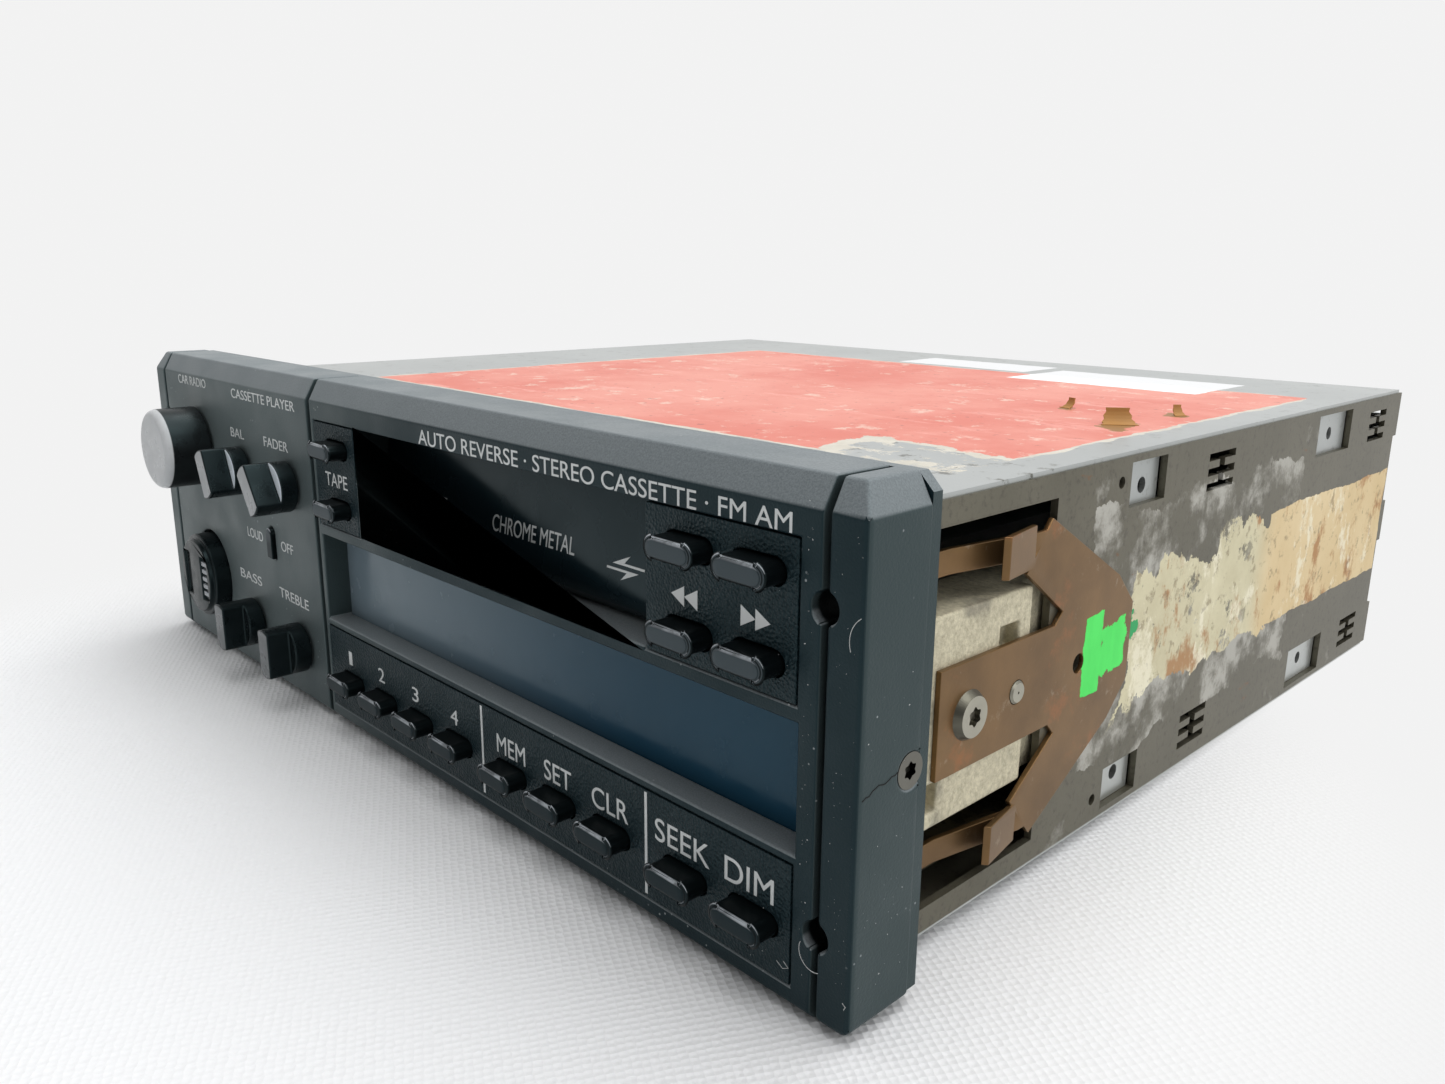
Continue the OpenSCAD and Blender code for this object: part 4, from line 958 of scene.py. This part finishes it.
def together(name, meshes, body="chassis"):
    """One piece from several meshes that share a material."""
    work = bmesh.new()
    for mesh in meshes:
        work.from_mesh(mesh)
    joined = bpy.data.meshes.new(name)
    work.to_mesh(joined)
    work.free()
    joined.materials.append(meshes[0].materials[0])
    return new_piece(name, joined, body)


SCREW_SIZES = ("Top radius", "Foot radius", "Height", "Recess radius", "Recess depth")
STAR_INNER, STAR_ROUND = 0.68, 0.16
SPECK_THICKNESS, SPECK_FLATTENED = 0.00004, 0.55


def star_screw():
    """A screw head, wide side up, with a star-shaped recess in it."""
    tree, given = generator("star_screw", [(label, "Float") for label in SCREW_SIZES])
    outer = given["Recess radius"]
    head = step(tree, "GeometryNodeMeshCone",
                {"Vertices": 64, "Radius Top": given["Top radius"],
                 "Radius Bottom": given["Foot radius"], "Depth": given["Height"]})
    inner = sum_of(tree, "MULTIPLY", outer, STAR_INNER)
    round_off = sum_of(tree, "MULTIPLY", outer, STAR_ROUND)
    star = step(tree, "GeometryNodeCurveStar",
                {"Points": 6, "Inner Radius": inner, "Outer Radius": outer})
    soft = step(tree, "GeometryNodeFilletCurve",
                {"Curve": star[0], "Radius": round_off, "Count": 4}, mode="POLY")
    flat = step(tree, "GeometryNodeFillCurve", {"Curve": soft[0]}, mode="NGONS")
    depth = sum_of(tree, "MULTIPLY", given["Recess depth"], 2.0)
    walls = step(tree, "GeometryNodeExtrudeMesh",
                 {"Mesh": flat[0], "Offset Scale": depth, "Individual": False})
    floor = step(tree, "GeometryNodeFlipFaces", {"Mesh": flat[0]})
    both = tree.nodes.new("GeometryNodeJoinGeometry")
    for part in (walls[0], floor[0]):
        tree.links.new(part, both.inputs[0])
    closed = step(tree, "GeometryNodeMergeByDistance",
                  {"Geometry": both.outputs[0], "Distance": 0.000001})
    lift = sum_of(tree, "SUBTRACT", given["Height"], given["Recess depth"])
    height = step(tree, "ShaderNodeCombineXYZ", {"Z": lift})
    placed = step(tree, "GeometryNodeTransform",
                  {"Geometry": closed[0], "Translation": height[0]})
    cut = tree.nodes.new("GeometryNodeMeshBoolean")
    cut.operation = "DIFFERENCE"
    tree.links.new(head[0], cut.inputs[0])
    tree.links.new(placed[0], cut.inputs[1])
    close_generator(tree, given, cut.outputs[0])
    return tree


def bar_row():
    """Bars side by side along Y."""
    tree, given = generator("bar_row", (("Count", "Int"), ("Pitch", "Float"), ("Bar", "Vector")))
    offset = step(tree, "ShaderNodeCombineXYZ", {"Y": given["Pitch"]})
    line = step(tree, "GeometryNodeMeshLine", {"Count": given["Count"], "Offset": offset[0]})
    bar = step(tree, "GeometryNodeMeshCube", {"Size": given["Bar"]})
    bars = step(tree, "GeometryNodeInstanceOnPoints", {"Points": line[0], "Instance": bar[0]})
    close_generator(tree, given, bars[0])
    return tree


def speck_field():
    """Specks strewn over a rectangle, each with its own size and turn."""
    tree, given = generator("speck_field", (
        ("Width", "Float"), ("Height", "Float"), ("Per square metre", "Float"),
        ("Smallest", "Float"), ("Largest", "Float"), ("Seed", "Int")))
    sheet = step(tree, "GeometryNodeMeshGrid",
                 {"Size X": given["Width"], "Size Y": given["Height"],
                  "Vertices X": 2, "Vertices Y": 2})
    strewn = step(tree, "GeometryNodeDistributePointsOnFaces",
                  {"Mesh": sheet[0], "Density": given["Per square metre"], "Seed": given["Seed"]})
    size = step(tree, "FunctionNodeRandomValue",
                {"Min": 0.0, "Max": 1.0, "Seed": given["Seed"]}, data_type="FLOAT")
    small = sum_of(tree, "POWER", size[1], 3.0)
    wide = step(tree, "ShaderNodeMapRange",
                {"Value": small, "To Min": given["Smallest"], "To Max": given["Largest"]})[0]
    narrow = sum_of(tree, "MULTIPLY", wide, SPECK_FLATTENED)
    scale = step(tree, "ShaderNodeCombineXYZ", {"X": wide, "Y": narrow, "Z": SPECK_THICKNESS})
    angle = step(tree, "FunctionNodeRandomValue", {"Min": 0.0, "Max": 6.28}, data_type="FLOAT")
    turn = step(tree, "ShaderNodeCombineXYZ", {"Z": angle[1]})
    ball = step(tree, "GeometryNodeMeshIcoSphere", {"Radius": 1.0, "Subdivisions": 1})
    specks = step(tree, "GeometryNodeInstanceOnPoints",
                  {"Points": strewn[0], "Instance": ball[0],
                   "Rotation": turn[0], "Scale": scale[0]})
    close_generator(tree, given, specks[0])
    return tree


SCREW, BARS, SPECKS = star_screw(), bar_row(), speck_field()
print("generators:", [tree.name for tree in (SCREW, BARS, SPECKS)])

# %% [markdown]
# Two kinds of screw show on the sides, both with a star recess: a small countersunk one that holds
# the end cap, and a broad flat one that holds the spring, with a rivet behind it. The rocker's
# right-hand finger pocket has a row of fine pale ribs.

# %% Screws and ribs
QUARTER = math.pi / 2
CAP_SCREW = (0.00200, 0.00100, 0.00122, 0.00110, 0.0007)
SPRING_SCREW = (0.00245, 0.003, 0.0009, 0.00135, 0.0007)
RIVET = (0.0012, 0.00145, 0.00025, 0.0002, 0.0001)
RIBS = {"Count": 5, "Pitch": 0.0015, "Bar": (0.0024, 0.0008, 0.0005)}


def sideways(side, x, y):
    """Places something that points up, so that it points out of the left (-1) or right (1) side."""
    return Matrix.Translation((side * x, y, 0)) @ Matrix.Rotation(side * QUARTER, 4, "Y")


def screw(sizes, look, side, x, y):
    values = dict(zip(SCREW_SIZES, sizes), Material=finish[look])
    return grow(SCREW, values, sideways(side, x, y))


cap_screw_low, cap_screw_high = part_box("cap_screws")
cap_screw_y = (cap_screw_low.y + cap_screw_high.y) / 2
fastener_low, fastener_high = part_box("spring_fasteners")
spring_screw_y = fastener_low.y + 0.003
rivet_y = fastener_high.y - 0.00145
face_x = plate_high.x + 0.0007
small_screws, large_screws = [], []
cap_screw_x = cap_screw_high.x - CAP_SCREW[2]
for side in (-1, 1):
    small_screws.append(screw(CAP_SCREW, "black_screw", side, cap_screw_x, cap_screw_y))
    large_screws.append(screw(SPRING_SCREW, "screw_steel", side, face_x, spring_screw_y))
    large_screws.append(screw(RIVET, "screw_steel", side, face_x, rivet_y))
for name, screws, node_name in (("cap_screw_heads", small_screws, "cap_screws"),
                                ("spring_screw_heads", large_screws, "spring_fasteners")):
    piece = together(name, screws)
    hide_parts(node_name)
rocker_low, rocker_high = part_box("tuning_rocker")
rocker_x, rocker_z = (rocker_low.x + rocker_high.x) / 2, (rocker_low.z + rocker_high.z) / 2
rib_finish = plain_plastic("rib_plastic", (0.26, 0.28, 0.30), 0.4)
place = Matrix.Translation((rocker_x + 0.0042, rocker_low.y + 0.00045, rocker_z - 0.0030))
ribs = [grow(BARS, dict(RIBS, Material=rib_finish), place @ Matrix.Rotation(QUARTER, 4, "X"))]
together("rocker_ribs", ribs, "tuning_rocker")
print("screw heads:", len(small_screws) + len(large_screws) - 2, "rib rows:", len(ribs))

# %% [markdown]
# Near the right edge of the top label three small flaps of paper have torn loose and curled up.

# %% Curled paper
FLAP = plain_plastic("torn_paper", (0.34, 0.17, 0.045), 0.8)
PAPER_THICKNESS = 0.00015
FOLDS = 6


def curl_up(x, y, width, height, turn):
    """A strip that leaves the cover flat and bends up a quarter turn, with a ragged free end."""
    work = bmesh.new()
    rings = []
    for k in range(FOLDS + 1):
        angle = QUARTER * k / FOLDS
        narrow = width * (1 - 0.10 * (k % 2) - 0.06 * k)
        for lift in (0, PAPER_THICKNESS):
            radius = height - lift
            y_here, z_here = radius * math.sin(angle), height - radius * math.cos(angle)
            for s in (-1, 1):
                rings.append(work.verts.new((s * narrow / 2, y_here, z_here)))
    for k in range(FOLDS):
        a, b = rings[4 * k:4 * k + 4], rings[4 * k + 4:4 * k + 8]
        for low, high in ((0, 1), (1, 3), (3, 2), (2, 0)):
            work.faces.new((a[low], a[high], b[high], b[low]))
    work.faces.new((rings[0], rings[2], rings[3], rings[1]))
    work.faces.new((rings[-4], rings[-3], rings[-1], rings[-2]))
    bmesh.ops.recalc_face_normals(work, faces=work.faces)
    mesh = bpy.data.meshes.new("flap")
    work.to_mesh(mesh)
    work.free()
    place = Matrix.Translation((x * MM, y * MM, COVER_TOP - 0.00005))
    mesh.transform(place @ Matrix.Rotation(turn, 4, "Z"))
    mesh.materials.append(FLAP)
    return mesh


FLAPS = [(76.5, 69, 0.0055, 0.0024, 0.7), (60.5, 81, 0.0022, 0.0017, -0.3),
         (78, 86, 0.002, 0.0017, 0.9)]
together("label_flaps", [curl_up(*flap) for flap in FLAPS])
print("flaps:", len(FLAPS))

# %% [markdown]
# The near end of the fascia has lived a rough life. Pale dust specks sit on it, a few hair-fine
# scratches curl round the lower tool hole and up the end cap, and a thin crack runs from the
# cap's screw to its front edge.

# %% Dust and scratches
DUST = plain_plastic("dust", (0.42, 0.43, 0.43), 0.8)
CRACK = plain_plastic("crack", (0.004, 0.004, 0.004), 0.9)
SCRATCH_RADIUS, CRACK_RADIUS = 0.00004, 0.00007
cap_face = cap_high.x
FIELDS = [(87.2, 1.1, 28.5, 54, 620000, 0.12, 1), (91.8, 3.4, 29, 50, 240000, 0.10, 5),
          (80, 10, 7, 7, 260000, 0.12, 9), (84, 3, 40, 12, 160000, 0.10, 14),
          (60, 48, 7, 8, 40000, 0.10, 3)]


def strew(place, axis, width, height, number, largest, seed):
    """Specks over a field of that width and height, turned to face along X or Y."""
    values = {"Width": width, "Height": height, "Per square metre": number,
              "Smallest": 0.00003, "Largest": largest, "Seed": seed, "Material": DUST}
    return grow(SPECKS, values, Matrix.Translation(place) @ Matrix.Rotation(QUARTER, 4, axis))


dust = [strew(at(x, z), "X", width * MM, height * MM, number, largest * MM, seed)
        for x, width, z, height, number, largest, seed in FIELDS]
dust.append(strew((cap_face, FRONT + 0.0045, BOTTOM + 0.022), "Y", 0.034, 0.007, 150000, 0.00014, 21))
together("dust_specks", dust)


def thread(points, radius):
    """A thin closed tube through the points."""
    curve = bpy.data.curves.new("thread", "CURVE")
    curve.dimensions = "3D"
    curve.bevel_depth = radius
    curve.bevel_resolution = 1
    curve.use_fill_caps = True
    spline = curve.splines.new("POLY")
    spline.points.add(len(points) - 1)
    for spot, point in zip(spline.points, points):
        spot.co = (*point, 1)
    return curve_mesh(curve)


def curl(x, z, radius, start, sweep):
    """Points along an arc on the fascia's front, in degrees."""
    turns = [math.radians(start + sweep * k / 14) for k in range(15)]
    return [at(x + radius * math.cos(t), z + radius * math.sin(t)) for t in turns]


scratches = [curl(95.2, 43.0, 3.0, 125, 75), curl(88.9, 8.3, 1.9, 155, 140),
             [at(93.0, 4.9), at(93.4, 4.6), at(93.2, 4.2)],
             [at(83.9, 5.2), at(84.8, 4.7), at(85.6, 5.1), at(84.9, 5.6)]]
scratch_meshes = [thread(points, SCRATCH_RADIUS) for points in scratches]
for mesh in scratch_meshes:
    mesh.materials.append(DUST)
together("scratches", scratch_meshes)
dice = random.Random(4)
crack_points = []
for k in range(12):
    y = cap_screw_y - 0.0022 + (FRONT + 0.0006 - cap_screw_y + 0.0022) * k / 11
    wobble = dice.uniform(-0.00025, 0.00025)
    crack_points.append((cap_face, y, BOTTOM + 0.0286 - 0.00012 * k + wobble))
crack_mesh = thread(crack_points, CRACK_RADIUS)
crack_mesh.materials.append(CRACK)
together("cap_crack", [crack_mesh])
print("specks:", sum(len(mesh.vertices) for mesh in dust) // 12, "scratches:", len(scratches))

# %% [markdown]
